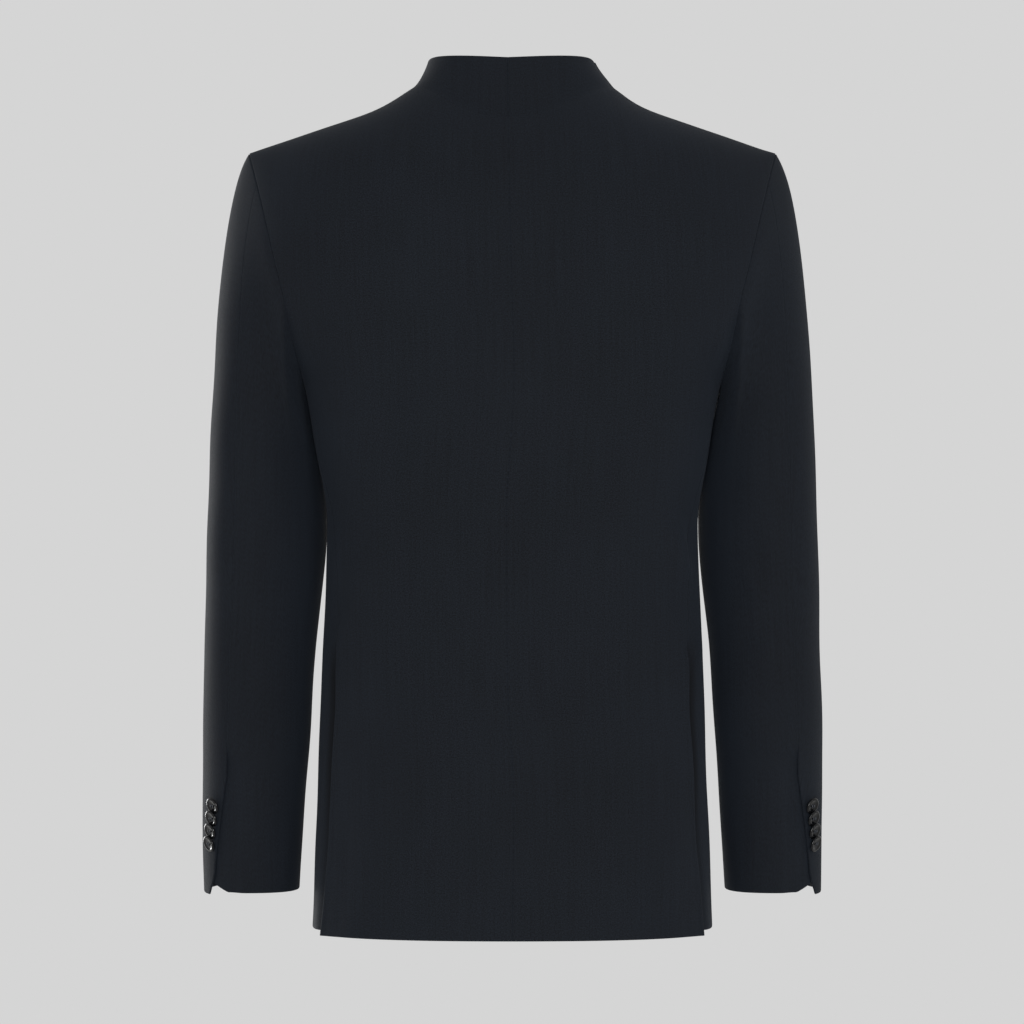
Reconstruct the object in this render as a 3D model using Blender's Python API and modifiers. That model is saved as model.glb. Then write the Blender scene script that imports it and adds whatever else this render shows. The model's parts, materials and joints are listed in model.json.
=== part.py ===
"""A stand collar blazer, filled out as if worn, in metres with +Z up.

The wearer faces -Y and the wearer's left is +X. The origin lies midway between the two points where the
shoulder seams meet the collar. Every piece of cloth is a thin wall lofted through sections of a general
figure, and pieces that are sewn together stop a small gap apart.
"""

import math
from collections import namedtuple

import bmesh
import bpy
import numpy as np
from mathutils import Matrix, Vector

# Cloth
BODY_CLOTH = 0.0018
SLEEVE_CLOTH = 0.0016
COLLAR_CLOTH = 0.0024
SEAM_GAP = 0.0003
LAP_GAP = 0.0009
FRONT_LAP_GAP = 0.0006

# Body: the hem, the underarm and the shoulder
HEM = -0.7295
FRONT_HEM = -0.7257
UNDERARM = -0.256
SHOULDER_HALF = 0.228
SHOULDER_SLOPE = 0.329
NECK_HALF = 0.086
NECK_DROP = 0.0092
NECK_LEVEL_REACH = 0.030
NECK_FLARE = 0.0118
NECK_FLARE_MIDDLE = 0.070
NECK_FLARE_REACH = 0.032
NECK_FLARE_POWER = 8

# Side vents and front closure
VENT_ROW = 7
VENT_UNDERLAP = math.radians(13)
VENT_STEP_START = math.radians(9)
VENT_STEP_END = math.radians(2)
FRONT_LAP = 0.020
FRONT_STEP_NEAR = 0.026
FRONT_STEP_FAR = 0.060
FRONT_CORNER = 0.045

# Collar
COLLAR_HALF = 0.0715
COLLAR_BACK = 0.062
COLLAR_FRONT = 0.068
COLLAR_CORNER = 0.010
COLLAR_CORNER_SOFTNESS = 0.2
COLLAR_FRONT_GAP = 0.0015
COLLAR_LEAVE = 0.7
COLLAR_LEAN = 0.6

# Sleeves: angles run from the outer side of the arm to its back, its inner side and its front
CAP_END = -0.340
CUFF = -0.696
CUFF_VENT_TOP = -0.595
CUFF_NOTCH = 0.010
CUFF_NOTCH_POWER = 4
CUFF_NOTCH_START = 64
ELBOW_SEAM = 60
FOREARM_SEAM = 240
VENT_EDGE_AT_CUFF = 39
VENT_LAP = 30
CUFF_STEP_START = 85
CUFF_STEP_END = 65
CAP_ARRIVE = 0.8

# Buttons
CUFF_BUTTON_RADIUS = 0.0074
CUFF_BUTTON_THICKNESS = 0.0024
CUFF_BUTTON_TILT = math.radians(14.5)
CUFF_BUTTON_STANDOFF = 0.0028
CUFF_BUTTON_FIRST = -0.621
CUFF_BUTTON_PITCH = 0.0111
CUFF_BUTTON_ANGLES = (44, 38)
CUFF_BUTTON_COUNT = 4
FRONT_BUTTON_RADIUS = 0.010
FRONT_BUTTON_THICKNESS = 0.0034
FRONT_BUTTON_FIRST = -0.118
FRONT_BUTTON_PITCH = 0.091
FRONT_BUTTON_COUNT = 5

# Grid of the panels
HEM_ROWS = 14
ARMHOLE_ROWS = 4
ARMHOLE_ROW_POWER = 1.6
YOKE_ROWS = 8
NECK_COLUMNS = 6
SHOULDER_COLUMNS = 7
NECK_ROW_POWER = 1.8
NECK_GATHER_POWER = 0.4
COLLAR_ROWS = 4
CAP_ROWS = 9
ARM_ROWS = 8
CUFF_ROWS = 4
SLEEVE_COLUMNS = 24
BUTTON_STEPS = 14
MITRE_VALLEY = -0.2
MITRE_RIDGE = 0.4
SHARP_EDGE = math.radians(40)

BodySection = namedtuple("BodySection", "height half_width back front ridge squareness")
BODY_SECTIONS = (
    BodySection(HEM, 0.1735, 0.118, 0.120, 0.000, 2.40),
    BodySection(-0.600, 0.1685, 0.117, 0.116, 0.004, 2.40),
    BodySection(-0.486, 0.1640, 0.108, 0.114, 0.010, 2.30),
    BodySection(-0.379, 0.1600, 0.103, 0.114, 0.015, 2.20),
    BodySection(-0.319, 0.1690, 0.110, 0.118, 0.015, 2.25),
    BodySection(-0.252, 0.1815, 0.117, 0.122, 0.014, 2.35),
    BodySection(-0.215, 0.2050, 0.118, 0.122, 0.010, 2.50),
    BodySection(-0.180, 0.2270, 0.118, 0.122, 0.006, 2.50),
    BodySection(-0.120, 0.2320, 0.118, 0.122, 0.000, 2.50),
    BodySection(0.000, 0.2320, 0.118, 0.122, 0.000, 2.50),
)

# The side seam's angle from the centre back, in degrees
SideSeam = namedtuple("SideSeam", "height angle")
SIDE_SEAM = (
    SideSeam(HEM, 63.5),
    SideSeam(-0.690, 61.5),
    SideSeam(-0.640, 60.0),
    SideSeam(-0.545, 60.0),
    SideSeam(-0.490, 62.5),
    SideSeam(-0.379, 70.0),
    SideSeam(UNDERARM, 95.0),
)

# How far from the centre the armhole's edge lies on the back and on the front
Armhole = namedtuple("Armhole", "height back front")
ARMHOLE = (
    Armhole(UNDERARM, 0.1800, 0.1798),
    Armhole(-0.245, 0.1825, 0.1797),
    Armhole(-0.221, 0.1880, 0.1815),
    Armhole(-0.185, 0.1950, 0.1865),
    Armhole(-0.149, 0.2020, 0.1925),
    Armhole(-0.102, 0.2100, 0.2035),
    Armhole(-0.049, 0.2190, 0.2165),
    Armhole(0.000, SHOULDER_HALF, SHOULDER_HALF),
)

# Above its start, a panel leans in over the shoulder blade or the chest to the shoulder seam
Yoke = namedtuple("Yoke", "start roundness neck_depth")
BACK_YOKE = Yoke(-0.180, 2.4, 0.077)
FRONT_YOKE = Yoke(-0.230, 1.5, 0.078)

CollarTop = namedtuple("CollarTop", "angle height")
COLLAR_TOP = (
    CollarTop(0, 0.0228),
    CollarTop(60, 0.0258),
    CollarTop(90, 0.0235),
    CollarTop(130, 0.000),
    CollarTop(180, -0.047),
)

SleeveSection = namedtuple("SleeveSection", "height outer inner back front lead")
SLEEVE_SECTIONS = (
    SleeveSection(CUFF, 0.2680, 0.1860, 0.008, 0.080, 0.000),
    SleeveSection(-0.653, 0.2690, 0.1830, 0.015, 0.078, 0.000),
    SleeveSection(-0.570, 0.2690, 0.1770, 0.030, 0.075, 0.002),
    SleeveSection(-0.486, 0.2670, 0.1715, 0.048, 0.066, 0.016),
    SleeveSection(-0.379, 0.2640, 0.1640, 0.071, 0.056, 0.042),
    SleeveSection(CAP_END, 0.2626, 0.1640, 0.076, 0.058, 0.044),
    SleeveSection(-0.300, 0.2610, 0.1650, 0.080, 0.060, 0.044),
)

# The way in which the sleeve head leaves the armhole, by the angle around it
CapStart = namedtuple("CapStart", "angle out back down")
CAP_STARTS = (
    CapStart(0, 0.080, 0.000, 0.110),
    CapStart(90, 0.030, 0.012, 0.130),
    CapStart(150, 0.014, -0.016, 0.085),
    CapStart(180, -0.004, -0.030, 0.060),
    CapStart(210, 0.006, -0.024, 0.085),
    CapStart(270, 0.030, -0.014, 0.120),
    CapStart(360, 0.080, 0.000, 0.110),
)

# A button's profile from its dish over the rim to its back, as shares of its radius and half thickness
ButtonRing = namedtuple("ButtonRing", "across up")
BUTTON_RINGS = (
    ButtonRing(0.00, 0.55),
    ButtonRing(0.62, 0.55),
    ButtonRing(0.78, 1.00),
    ButtonRing(0.92, 1.00),
    ButtonRing(1.00, 0.20),
    ButtonRing(0.80, -1.00),
    ButtonRing(0.00, -1.00),
)

BACK = 1
FRONT = -1
PROBE = 0.0001


def through(rows, knot, column, at):
    """A smooth curve with no overshoot through one column of a table, read at the given places."""
    places = np.array([getattr(row, knot) for row in rows])
    values = np.array([getattr(row, column) for row in rows])
    step = np.diff(places)
    slope = np.diff(values) / step
    product = slope[:-1] * slope[1:]
    total = np.where(product > 0, slope[:-1] + slope[1:], 1)
    inner = np.where(product > 0, 2 * product / total, 0)
    tangent = np.concatenate([slope[:1], inner, slope[-1:]])
    i = np.clip(np.searchsorted(places, at) - 1, 0, len(step) - 1)
    t = np.clip((at - places[i]) / step[i], 0, 1)
    return hermite(values[i], tangent[i] * step[i], values[i + 1], tangent[i + 1] * step[i], t)


def hermite(start, leave, end, arrive, t):
    """The cubic that leaves start and arrives at end with the given tangents."""
    return (
        (2 * t**3 - 3 * t**2 + 1) * start
        + (t**3 - 2 * t**2 + t) * leave
        + (3 * t**2 - 2 * t**3) * end
        + (t**3 - t**2) * arrive
    )


def ramp(value, low, high):
    """0 below low, 1 above high, with a soft rise between."""
    t = np.clip((value - low) / (high - low), 0, 1)
    return t * t * (3 - 2 * t)


def unit(vectors):
    return vectors / np.linalg.norm(vectors, axis=-1, keepdims=True)


def body(column, height):
    return through(BODY_SECTIONS, "height", column, height)


def angle_across(distance, height):
    """The angle from a panel's centre line at which a section is this far from the middle."""
    share = np.minimum(distance / body("half_width", height), 1)
    squareness = body("squareness", height)
    return np.arctan2(share, (1 - share**squareness) ** (1 / squareness))


def section(angle, height, facing):
    """How far a section lies across and back (y) at an angle from the centre back or the centre front."""
    squareness = body("squareness", height)
    sine, cosine = np.sin(angle), np.cos(angle)
    reach = (np.abs(sine) ** squareness + np.abs(cosine) ** squareness) ** (-1 / squareness)
    ridge = body("ridge", height)
    on_back = cosine * facing > 0
    depth = np.where(on_back, body("back", height) - ridge, body("front", height) + ridge)
    return body("half_width", height) * sine * reach, ridge, facing * depth * cosine * reach


def shoulder_height(across):
    """The straight line of the shoulder, which levels off inside the neck."""
    past = np.abs(across) - NECK_HALF
    inside = SHOULDER_SLOPE * NECK_LEVEL_REACH * (1 - np.exp(np.minimum(past, 0) / NECK_LEVEL_REACH))
    return inside - SHOULDER_SLOPE * np.maximum(past, 0) - NECK_DROP


def neck_flare(across, lift):
    """How much the cloth near the shoulder seam turns up towards the collar."""
    beside = (np.abs(across) - NECK_FLARE_MIDDLE) / NECK_FLARE_REACH
    return NECK_FLARE * np.exp(-(beside**2)) * lift**NECK_FLARE_POWER


def side_edge(height, facing):
    """The angle from the panel's centre line to the side seam, or to the armhole above it."""
    seam = np.radians(through(SIDE_SEAM, "height", "angle", height))
    seam = seam if facing == BACK else math.pi - seam
    distance = through(ARMHOLE, "height", "back" if facing == BACK else "front", height)
    return np.where(height <= UNDERARM, seam, angle_across(distance, height))


def place(angle, height, turn, facing, yoke):
    """Points on the body at angles from a panel's centre line, where turn counts the lean over the yoke."""
    across, ridge, depth = section(angle, height, facing)
    lift = np.sin(turn) ** (2 / yoke.roundness)
    leaning = yoke.start + (shoulder_height(across) - yoke.start) * lift + neck_flare(across, lift)
    up = np.where(turn > 0, leaning, height)
    return np.stack([across, ridge + depth * np.cos(turn) ** (2 / yoke.roundness), up], axis=-1)


def outward(angle, height, turn, facing, yoke):
    """Unit normals of the body at the same points."""
    around = place(angle + PROBE, height, turn, facing, yoke) - place(angle - PROBE, height, turn, facing, yoke)
    lower_height = np.where(turn > 0, height, height - PROBE)
    lower = place(angle, lower_height, np.maximum(turn - PROBE, 0), facing, yoke)
    rise = place(angle, height, turn, facing, yoke) - lower
    return -facing * unit(np.cross(around, rise))


def body_panel(facing, yoke, laps):
    """The left panel's points and normals, with the angles and nominal heights of its rows and columns."""
    neck_points = NECK_HALF * np.sin(np.linspace(0, math.pi / 2, NECK_COLUMNS + 1))
    neck_shares = angle_across(neck_points, 0.0) / angle_across(SHOULDER_HALF, 0.0)
    shoulder_shares = np.linspace(neck_shares[-1], 1, SHOULDER_COLUMNS + 1)
    top_shares = np.concatenate([neck_shares, shoulder_shares[1:]])
    even_shares = np.linspace(0, 1, len(top_shares))
    hem_rows = np.linspace(HEM if facing == BACK else FRONT_HEM, UNDERARM, HEM_ROWS + 1)
    share_up = (np.arange(1, ARMHOLE_ROWS + 1) / ARMHOLE_ROWS) ** ARMHOLE_ROW_POWER
    armhole_rows = UNDERARM + (yoke.start - UNDERARM) * share_up
    yoke_steps = np.arange(1, YOKE_ROWS + 1) / YOKE_ROWS
    yoke_rows = yoke.start * (1 - np.sin(yoke_steps * math.pi / 2) ** (2 / yoke.roundness))
    rows = np.concatenate([hem_rows, armhole_rows, yoke_rows])[:, None]
    gather = np.concatenate([np.zeros(len(rows) - YOKE_ROWS), 1 - (1 - yoke_steps) ** NECK_GATHER_POWER])
    shares = even_shares + (top_shares - even_shares) * gather[:, None]
    edge = side_edge(rows, facing)
    if facing == FRONT:
        edge = edge + VENT_UNDERLAP * (np.arange(len(rows)) < VENT_ROW)[:, None]
    lap_angles = [-angle_across(lap, rows) for lap in laps]
    angles = np.hstack([*lap_angles, edge * shares])
    heights = rows + 0 * angles
    if facing == FRONT:
        from_edge = section(angles[0], HEM, facing)[0] + FRONT_LAP
        short = np.clip(FRONT_CORNER - from_edge, 0, FRONT_CORNER)
        rounding = FRONT_CORNER - np.sqrt(FRONT_CORNER**2 - short**2)
        heights = heights + rounding * np.clip((UNDERARM - rows) / (UNDERARM - HEM), 0, 1)
    across, _, depth = section(angles[-1], 0.0, facing)
    neck = yoke.neck_depth * np.sqrt(np.clip(1 - (across / NECK_HALF) ** 2, 0, 1))
    last_turn = np.arccos(np.clip(neck / np.abs(depth), 0, 1) ** (yoke.roundness / 2))
    turn = np.zeros_like(angles)
    steps = yoke_steps[:, None]
    turn[-YOKE_ROWS:] = math.pi / 2 * steps - (math.pi / 2 - last_turn) * steps**NECK_ROW_POWER
    where = (angles, heights, turn, facing, yoke)
    return place(*where), outward(*where), angles, rows


def normals(grid, sign):
    """Unit normals that point out of the garment."""
    down_rows = np.gradient(grid, axis=0, edge_order=2)
    along_columns = np.gradient(grid, axis=1, edge_order=2)
    return sign * unit(np.cross(along_columns, down_rows))


def off_edge(edge, beside):
    """Directions that lead away from an edge, square to it, towards the points beside it."""
    along = unit(np.gradient(edge, axis=0, edge_order=2))
    away = beside - edge
    return unit(away - along * np.sum(away * along, axis=-1, keepdims=True))


def ease(grid, first_row=0.0, last_row=0.0, first_column=0.0, last_column=0.0):
    """Draws a grid's edges back from its seams."""
    eased = grid.copy()
    eased[0] += off_edge(grid[0], grid[1]) * first_row
    eased[-1] += off_edge(grid[-1], grid[-2]) * last_row
    eased[:, 0] += off_edge(grid[:, 0], grid[:, 1]) * first_column
    eased[:, -1] += off_edge(grid[:, -1], grid[:, -2]) * last_column
    return eased


def mitre(own, other):
    """The direction in which two walls end at a seam: shared on a ridge, each its own in a deep valley."""
    agree = np.sum(own * other, axis=-1, keepdims=True)
    return unit(own + other * ramp(agree, MITRE_VALLEY, MITRE_RIDGE))


def principled(name, colour, roughness):
    material = bpy.data.materials.new(name)
    material.use_nodes = True
    shader = material.node_tree.nodes["Principled BSDF"]
    shader.inputs["Base Color"].default_value = (*colour, 1)
    shader.inputs["Roughness"].default_value = roughness
    return material


def cloth(name, outer, outward, thickness, mirrored, collection, material):
    """A closed wall between an outer grid and the same grid moved in, on the left or mirrored to the right."""
    side = np.array([-1 if mirrored else 1, 1, 1])
    rows, columns = outer.shape[:2]
    mesh = bmesh.new()
    skins = []
    for grid in (outer, outer - outward * thickness):
        skins.append([[mesh.verts.new(point) for point in row] for row in grid * side])
    rising = np.linalg.norm(outer[1:, 1:] - outer[:-1, :-1], axis=-1)
    falling = np.linalg.norm(outer[1:, :-1] - outer[:-1, 1:], axis=-1)
    for skin in skins:
        for i, j in np.ndindex(rows - 1, columns - 1):
            corners = [skin[i][j], skin[i][j + 1], skin[i + 1][j + 1], skin[i + 1][j]]
            if falling[i, j] < rising[i, j]:
                corners = corners[1:] + corners[:1]
            mesh.faces.new((corners[0], corners[1], corners[2]))
            mesh.faces.new((corners[0], corners[2], corners[3]))
    border = [(0, j) for j in range(columns)]
    border += [(i, columns - 1) for i in range(1, rows)]
    border += [(rows - 1, j) for j in range(columns - 2, -1, -1)]
    border += [(i, 0) for i in range(rows - 2, 0, -1)]
    for (i, j), (k, m) in zip(border, border[1:] + border[:1]):
        mesh.faces.new((skins[0][i][j], skins[0][k][m], skins[1][k][m], skins[1][i][j]))
    bmesh.ops.recalc_face_normals(mesh, faces=mesh.faces)
    data = bpy.data.meshes.new(name)
    mesh.to_mesh(data)
    mesh.free()
    data.shade_smooth()
    data.set_sharp_from_angle(angle=SHARP_EDGE)
    data.materials.append(material)
    collection.objects.link(bpy.data.objects.new(name, data))


def sleeve_ring(angle, height):
    """Points around the sleeve at a height, whose inner side lies a little forward of its outer side."""
    size = {name: through(SLEEVE_SECTIONS, "height", name, height) for name in SleeveSection._fields[1:]}
    across = (size["outer"] + size["inner"]) / 2 + (size["outer"] - size["inner"]) / 2 * np.cos(angle)
    back = (size["back"] - size["front"]) / 2 + (size["back"] + size["front"]) / 2 * np.sin(angle)
    back = back - size["lead"] * (1 - np.cos(angle)) / 2
    return np.stack(np.broadcast_arrays(across, back, height), axis=-1)


def sleeve_head(armhole):
    """Rows from the armhole to the first full section of the sleeve, one column for each armhole point."""
    degrees = np.linspace(0, 360, SLEEVE_COLUMNS + 1)
    angle = np.radians(degrees)
    leave = np.stack(
        [
            through(CAP_STARTS, "angle", "out", degrees),
            through(CAP_STARTS, "angle", "back", degrees),
            -through(CAP_STARTS, "angle", "down", degrees),
        ],
        axis=-1,
    )
    end = sleeve_ring(angle, CAP_END)
    drop = (armhole[:, 2] - CAP_END)[:, None]
    arrive = (sleeve_ring(angle, CAP_END - PROBE) - end) / PROBE * drop * CAP_ARRIVE
    return np.stack([hermite(armhole, leave, end, arrive, t) for t in np.linspace(0, 1, CAP_ROWS + 1)])


def sleeve_piece(head, first, last):
    """The grid of the top or the under sleeve between two seams, with the cuff vent at the elbow seam."""
    columns = np.arange(first, last + 1)
    degrees = columns * 360 / SLEEVE_COLUMNS
    arm = np.linspace(CAP_END, CUFF_VENT_TOP, ARM_ROWS + 1)[1:]
    cuff = np.linspace(CUFF_VENT_TOP, CUFF, CUFF_ROWS + 1)[1:]
    heights = np.concatenate([arm, cuff])[:, None]
    in_vent = np.clip((CUFF_VENT_TOP - heights) / (CUFF_VENT_TOP - CUFF), 0, 1)
    under = first * 360 / SLEEVE_COLUMNS == ELBOW_SEAM
    if under:
        lap = (ELBOW_SEAM - VENT_LAP) * (in_vent > 0)
        turned = degrees - lap * np.clip(2 - degrees / ELBOW_SEAM, 0, 1)
        up = heights + CUFF_NOTCH * np.clip((CUFF_NOTCH_START - turned) / VENT_LAP, 0, 1) * in_vent**CUFF_NOTCH_POWER
        inward = ramp(turned, CUFF_STEP_START, CUFF_STEP_END)
        inward = inward * (heights <= CUFF_VENT_TOP + PROBE) * (SLEEVE_CLOTH + LAP_GAP)
    else:
        reach = 360 + ELBOW_SEAM - FOREARM_SEAM
        share = 1 - (ELBOW_SEAM - VENT_EDGE_AT_CUFF) / reach * in_vent
        turned = FOREARM_SEAM + (degrees - FOREARM_SEAM) * share
        up = heights + 0 * turned
        inward = 0 * turned
    tube = sleeve_ring(np.radians(turned), up)
    grid = np.concatenate([head[:, columns % SLEEVE_COLUMNS], tube])
    step = np.zeros(grid.shape[:2])
    step[len(head):] = inward
    return grid - normals(grid, -1) * step[..., None]


def button(name, radius, thickness, place, axis, collection, material):
    """A turned button with a raised rim around a shallow dish."""
    profile = [(ring.across * radius, 0, ring.up * thickness / 2) for ring in BUTTON_RINGS]
    data = bpy.data.meshes.new(name)
    edges = [(i, i + 1) for i in range(len(profile) - 1)]
    data.from_pydata(profile, edges, [])
    data.materials.append(material)
    item = bpy.data.objects.new(name, data)
    turn = item.modifiers.new("Turn", "SCREW")
    turn.steps = turn.render_steps = BUTTON_STEPS
    turn.use_merge_vertices = True
    turn.merge_threshold = PROBE / 2
    turn.use_smooth_shade = True
    rotation = Vector(axis).to_track_quat("Z", "Y").to_matrix().to_4x4()
    item.matrix_world = Matrix.Translation(Vector(place)) @ rotation
    collection.objects.link(item)


def cuff_buttons(side_name, sign, collection, material):
    """Four buttons up the cuff vent, each laid over the lower rim of the one above it."""
    for i in range(CUFF_BUTTON_COUNT):
        share = i / (CUFF_BUTTON_COUNT - 1)
        first_angle, last_angle = CUFF_BUTTON_ANGLES
        angle = math.radians(first_angle + (last_angle - first_angle) * share)
        height = CUFF_BUTTON_FIRST - CUFF_BUTTON_PITCH * i
        here = sleeve_ring(angle, height)
        along = unit(sleeve_ring(angle, height + PROBE) - here)
        around = unit(sleeve_ring(angle + PROBE, height) - here)
        out = np.cross(around, along)
        axis = out * math.cos(CUFF_BUTTON_TILT) - along * math.sin(CUFF_BUTTON_TILT)
        side = np.array([sign, 1, 1])
        button(
            f"cuff_button_{side_name}_{i + 1}",
            CUFF_BUTTON_RADIUS,
            CUFF_BUTTON_THICKNESS,
            (here + out * CUFF_BUTTON_STANDOFF) * side,
            axis * side,
            collection,
            material,
        )


def front_buttons(front, front_out, middle, collection, material):
    """Buttons down the centre front, each lying on the left front."""
    for i in range(FRONT_BUTTON_COUNT):
        height = FRONT_BUTTON_FIRST - FRONT_BUTTON_PITCH * i
        column = front[:, middle]
        here = [np.interp(height, column[:, 2], column[:, axis]) for axis in range(3)]
        out = [np.interp(height, column[:, 2], front_out[:, middle, axis]) for axis in range(3)]
        standoff = FRONT_BUTTON_THICKNESS / 2 + SEAM_GAP
        button(
            f"front_button_{i + 1}",
            FRONT_BUTTON_RADIUS,
            FRONT_BUTTON_THICKNESS,
            np.array(here) + unit(np.array(out)) * standoff,
            out,
            collection,
            material,
        )


def collar_grid(neck, neck_out):
    """The stand from the neck seam, centre back to centre front, up to its own top edge."""
    along = np.gradient(neck, axis=0, edge_order=2)
    up = unit(np.cross(neck_out, along))
    up *= np.sign(up[:, 2:])
    angle = np.arctan2(neck[:, 0], neck[:, 1])
    height = through(COLLAR_TOP, "angle", "height", np.degrees(angle))
    height[-1] -= COLLAR_CORNER
    height[-2] -= COLLAR_CORNER * COLLAR_CORNER_SOFTNESS
    depth = np.where(np.cos(angle) > 0, COLLAR_BACK, COLLAR_FRONT)
    top = np.stack([COLLAR_HALF * np.sin(angle), depth * np.cos(angle), height], axis=-1)
    rise = np.linalg.norm(top - neck, axis=-1, keepdims=True)
    upright = unit(COLLAR_LEAN * unit(top - neck) + np.array([0, 0, 1 - COLLAR_LEAN]))
    steps = np.linspace(0, 1, COLLAR_ROWS + 1)
    return np.stack([hermite(neck, up * rise * COLLAR_LEAVE, top, upright * rise, t) for t in steps])


def main():
    for item in list(bpy.data.objects):
        bpy.data.objects.remove(item, do_unlink=True)
    jacket = bpy.data.collections.new("stand_collar_blazer")
    bpy.context.scene.collection.children.link(jacket)
    wool = principled("dark_wool", (0.013, 0.015, 0.019), 0.9)
    horn = principled("black_button", (0.010, 0.010, 0.011), 0.25)
    half_seam = SEAM_GAP / 2

    laps = (FRONT_LAP, FRONT_LAP / 2)
    middle = len(laps)
    back, back_out, _, _ = body_panel(BACK, BACK_YOKE, ())
    front, front_out, angles, rows = body_panel(FRONT, FRONT_YOKE, laps)

    # The armhole runs from the shoulder down the back to the underarm and up the front
    back_edge = back[HEM_ROWS:, -1][::-1]
    front_edge = front[HEM_ROWS:, -1]
    armhole = np.concatenate([back_edge, front_edge[1:]])
    head = sleeve_head(armhole)
    head_out = normals(head, -1)[0]
    body_edge_out = np.concatenate([back_out[HEM_ROWS:, -1][::-1], front_out[HEM_ROWS + 1:, -1]])
    sleeve_edge_out = mitre(head_out, body_edge_out)
    body_edge_out = mitre(body_edge_out, head_out)
    armhole_rows = len(back_edge)
    back_out[HEM_ROWS:, -1] = body_edge_out[:armhole_rows][::-1]
    front_out[HEM_ROWS + 1:, -1] = body_edge_out[armhole_rows:]

    # The neck seam runs from the centre back over the shoulder to the centre front
    back_neck = slice(0, NECK_COLUMNS + 1)
    front_neck = slice(middle, middle + NECK_COLUMNS)
    neck = np.concatenate([back[-1, back_neck], front[-1, front_neck][::-1]])
    neck_out = np.concatenate([back_out[-1, back_neck], front_out[-1, front_neck][::-1]])
    collar = collar_grid(neck, neck_out)
    collar_out = normals(collar, -1)
    shared = mitre(neck_out, collar_out[0])
    collar_out[0] = mitre(collar_out[0], neck_out)
    back_out[-1, back_neck] = shared[: NECK_COLUMNS + 1]
    front_out[-1, middle : middle + NECK_COLUMNS + 1] = shared[NECK_COLUMNS:][::-1]
    collar = ease(collar, first_row=half_seam, first_column=half_seam, last_column=COLLAR_FRONT_GAP / 2)

    back = ease(back, last_row=half_seam, first_column=half_seam, last_column=half_seam)
    front = ease(front, last_row=half_seam, last_column=half_seam)

    # Below the vent's top, the front steps in and runs on under the back
    seam_angle = math.pi - np.radians(through(SIDE_SEAM, "height", "angle", rows))
    beside = ramp(angles, seam_angle - VENT_STEP_START, seam_angle - VENT_STEP_END)
    below = (np.arange(len(rows)) <= VENT_ROW)[:, None]
    step = beside * below * (BODY_CLOTH + LAP_GAP)
    front = front - front_out * step[..., None]

    # The right front also steps in under the left one
    near = 1 - ramp(front[..., 0], FRONT_STEP_NEAR, FRONT_STEP_FAR)
    under_front = front - front_out * (near * (BODY_CLOTH + FRONT_LAP_GAP))[..., None]

    per_degree = SLEEVE_COLUMNS / 360
    elbow = round(ELBOW_SEAM * per_degree)
    forearm = round(FOREARM_SEAM * per_degree)
    under = sleeve_piece(head, elbow, forearm)
    over = sleeve_piece(head, forearm, elbow + SLEEVE_COLUMNS)

    for side_name, mirrored in (("left", False), ("right", True)):
        cloth(f"back_{side_name}", back, back_out, BODY_CLOTH, mirrored, jacket, wool)
        front_grid = under_front if mirrored else front
        cloth(f"front_{side_name}", front_grid, front_out, BODY_CLOTH, mirrored, jacket, wool)
        cloth(f"collar_{side_name}", collar, collar_out, COLLAR_CLOTH, mirrored, jacket, wool)
        for name, grid, first in (("under_sleeve", under, elbow), ("top_sleeve", over, forearm)):
            out = normals(grid, -1)
            columns = (first + np.arange(grid.shape[1])) % SLEEVE_COLUMNS
            out[0] = sleeve_edge_out[columns]
            grid = ease(grid, first_row=half_seam, first_column=half_seam, last_column=half_seam)
            cloth(f"{name}_{side_name}", grid, out, SLEEVE_CLOTH, mirrored, jacket, wool)
        cuff_buttons(side_name, -1 if mirrored else 1, jacket, horn)
    front_buttons(front, front_out, middle, jacket, horn)


main()
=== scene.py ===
# %% [markdown]
# # A stand collar blazer in fine dark wool
# The imported part already has the cut of the jacket: ten pieces of cloth and thirteen buttons, as plain
# solids. This lesson lays finer cloth over that cut, with soft folds, rolled seams, sewn buttons and woven
# wool. We start from an empty scene and load the part. The finished jacket has to stay close to it.

# %% Load the part
import json
import math
from collections import namedtuple

import bmesh
import bpy
import numpy as np
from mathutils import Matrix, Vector
from mathutils.bvhtree import BVHTree

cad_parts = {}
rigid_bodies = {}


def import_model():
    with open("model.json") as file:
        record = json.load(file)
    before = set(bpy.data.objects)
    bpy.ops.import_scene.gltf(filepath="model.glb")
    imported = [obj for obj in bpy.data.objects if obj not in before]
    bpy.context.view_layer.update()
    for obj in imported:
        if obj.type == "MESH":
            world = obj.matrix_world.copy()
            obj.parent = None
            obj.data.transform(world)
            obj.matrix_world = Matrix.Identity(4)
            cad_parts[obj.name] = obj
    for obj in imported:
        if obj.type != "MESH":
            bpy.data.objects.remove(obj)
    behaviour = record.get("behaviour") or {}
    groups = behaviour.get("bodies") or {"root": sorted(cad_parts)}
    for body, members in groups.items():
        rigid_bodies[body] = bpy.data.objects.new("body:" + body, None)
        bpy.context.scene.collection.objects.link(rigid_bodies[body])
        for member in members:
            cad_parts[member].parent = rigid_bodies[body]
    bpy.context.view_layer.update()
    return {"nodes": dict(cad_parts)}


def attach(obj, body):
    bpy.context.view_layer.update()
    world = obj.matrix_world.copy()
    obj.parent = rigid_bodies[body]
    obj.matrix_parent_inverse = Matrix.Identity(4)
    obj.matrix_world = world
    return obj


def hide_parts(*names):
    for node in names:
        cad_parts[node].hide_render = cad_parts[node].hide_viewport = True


for item in list(bpy.data.objects):
    bpy.data.objects.remove(item, do_unlink=True)
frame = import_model()
print("cloth and button nodes:", len(frame["nodes"]))

# %% [markdown]
# ## Camera
# A jacket is photographed from far away with a long lens, so that near and far pieces keep their
# proportions. One number ties the picture to the object: how wide the frame is at the jacket's middle. The
# lens follows from it.

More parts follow.
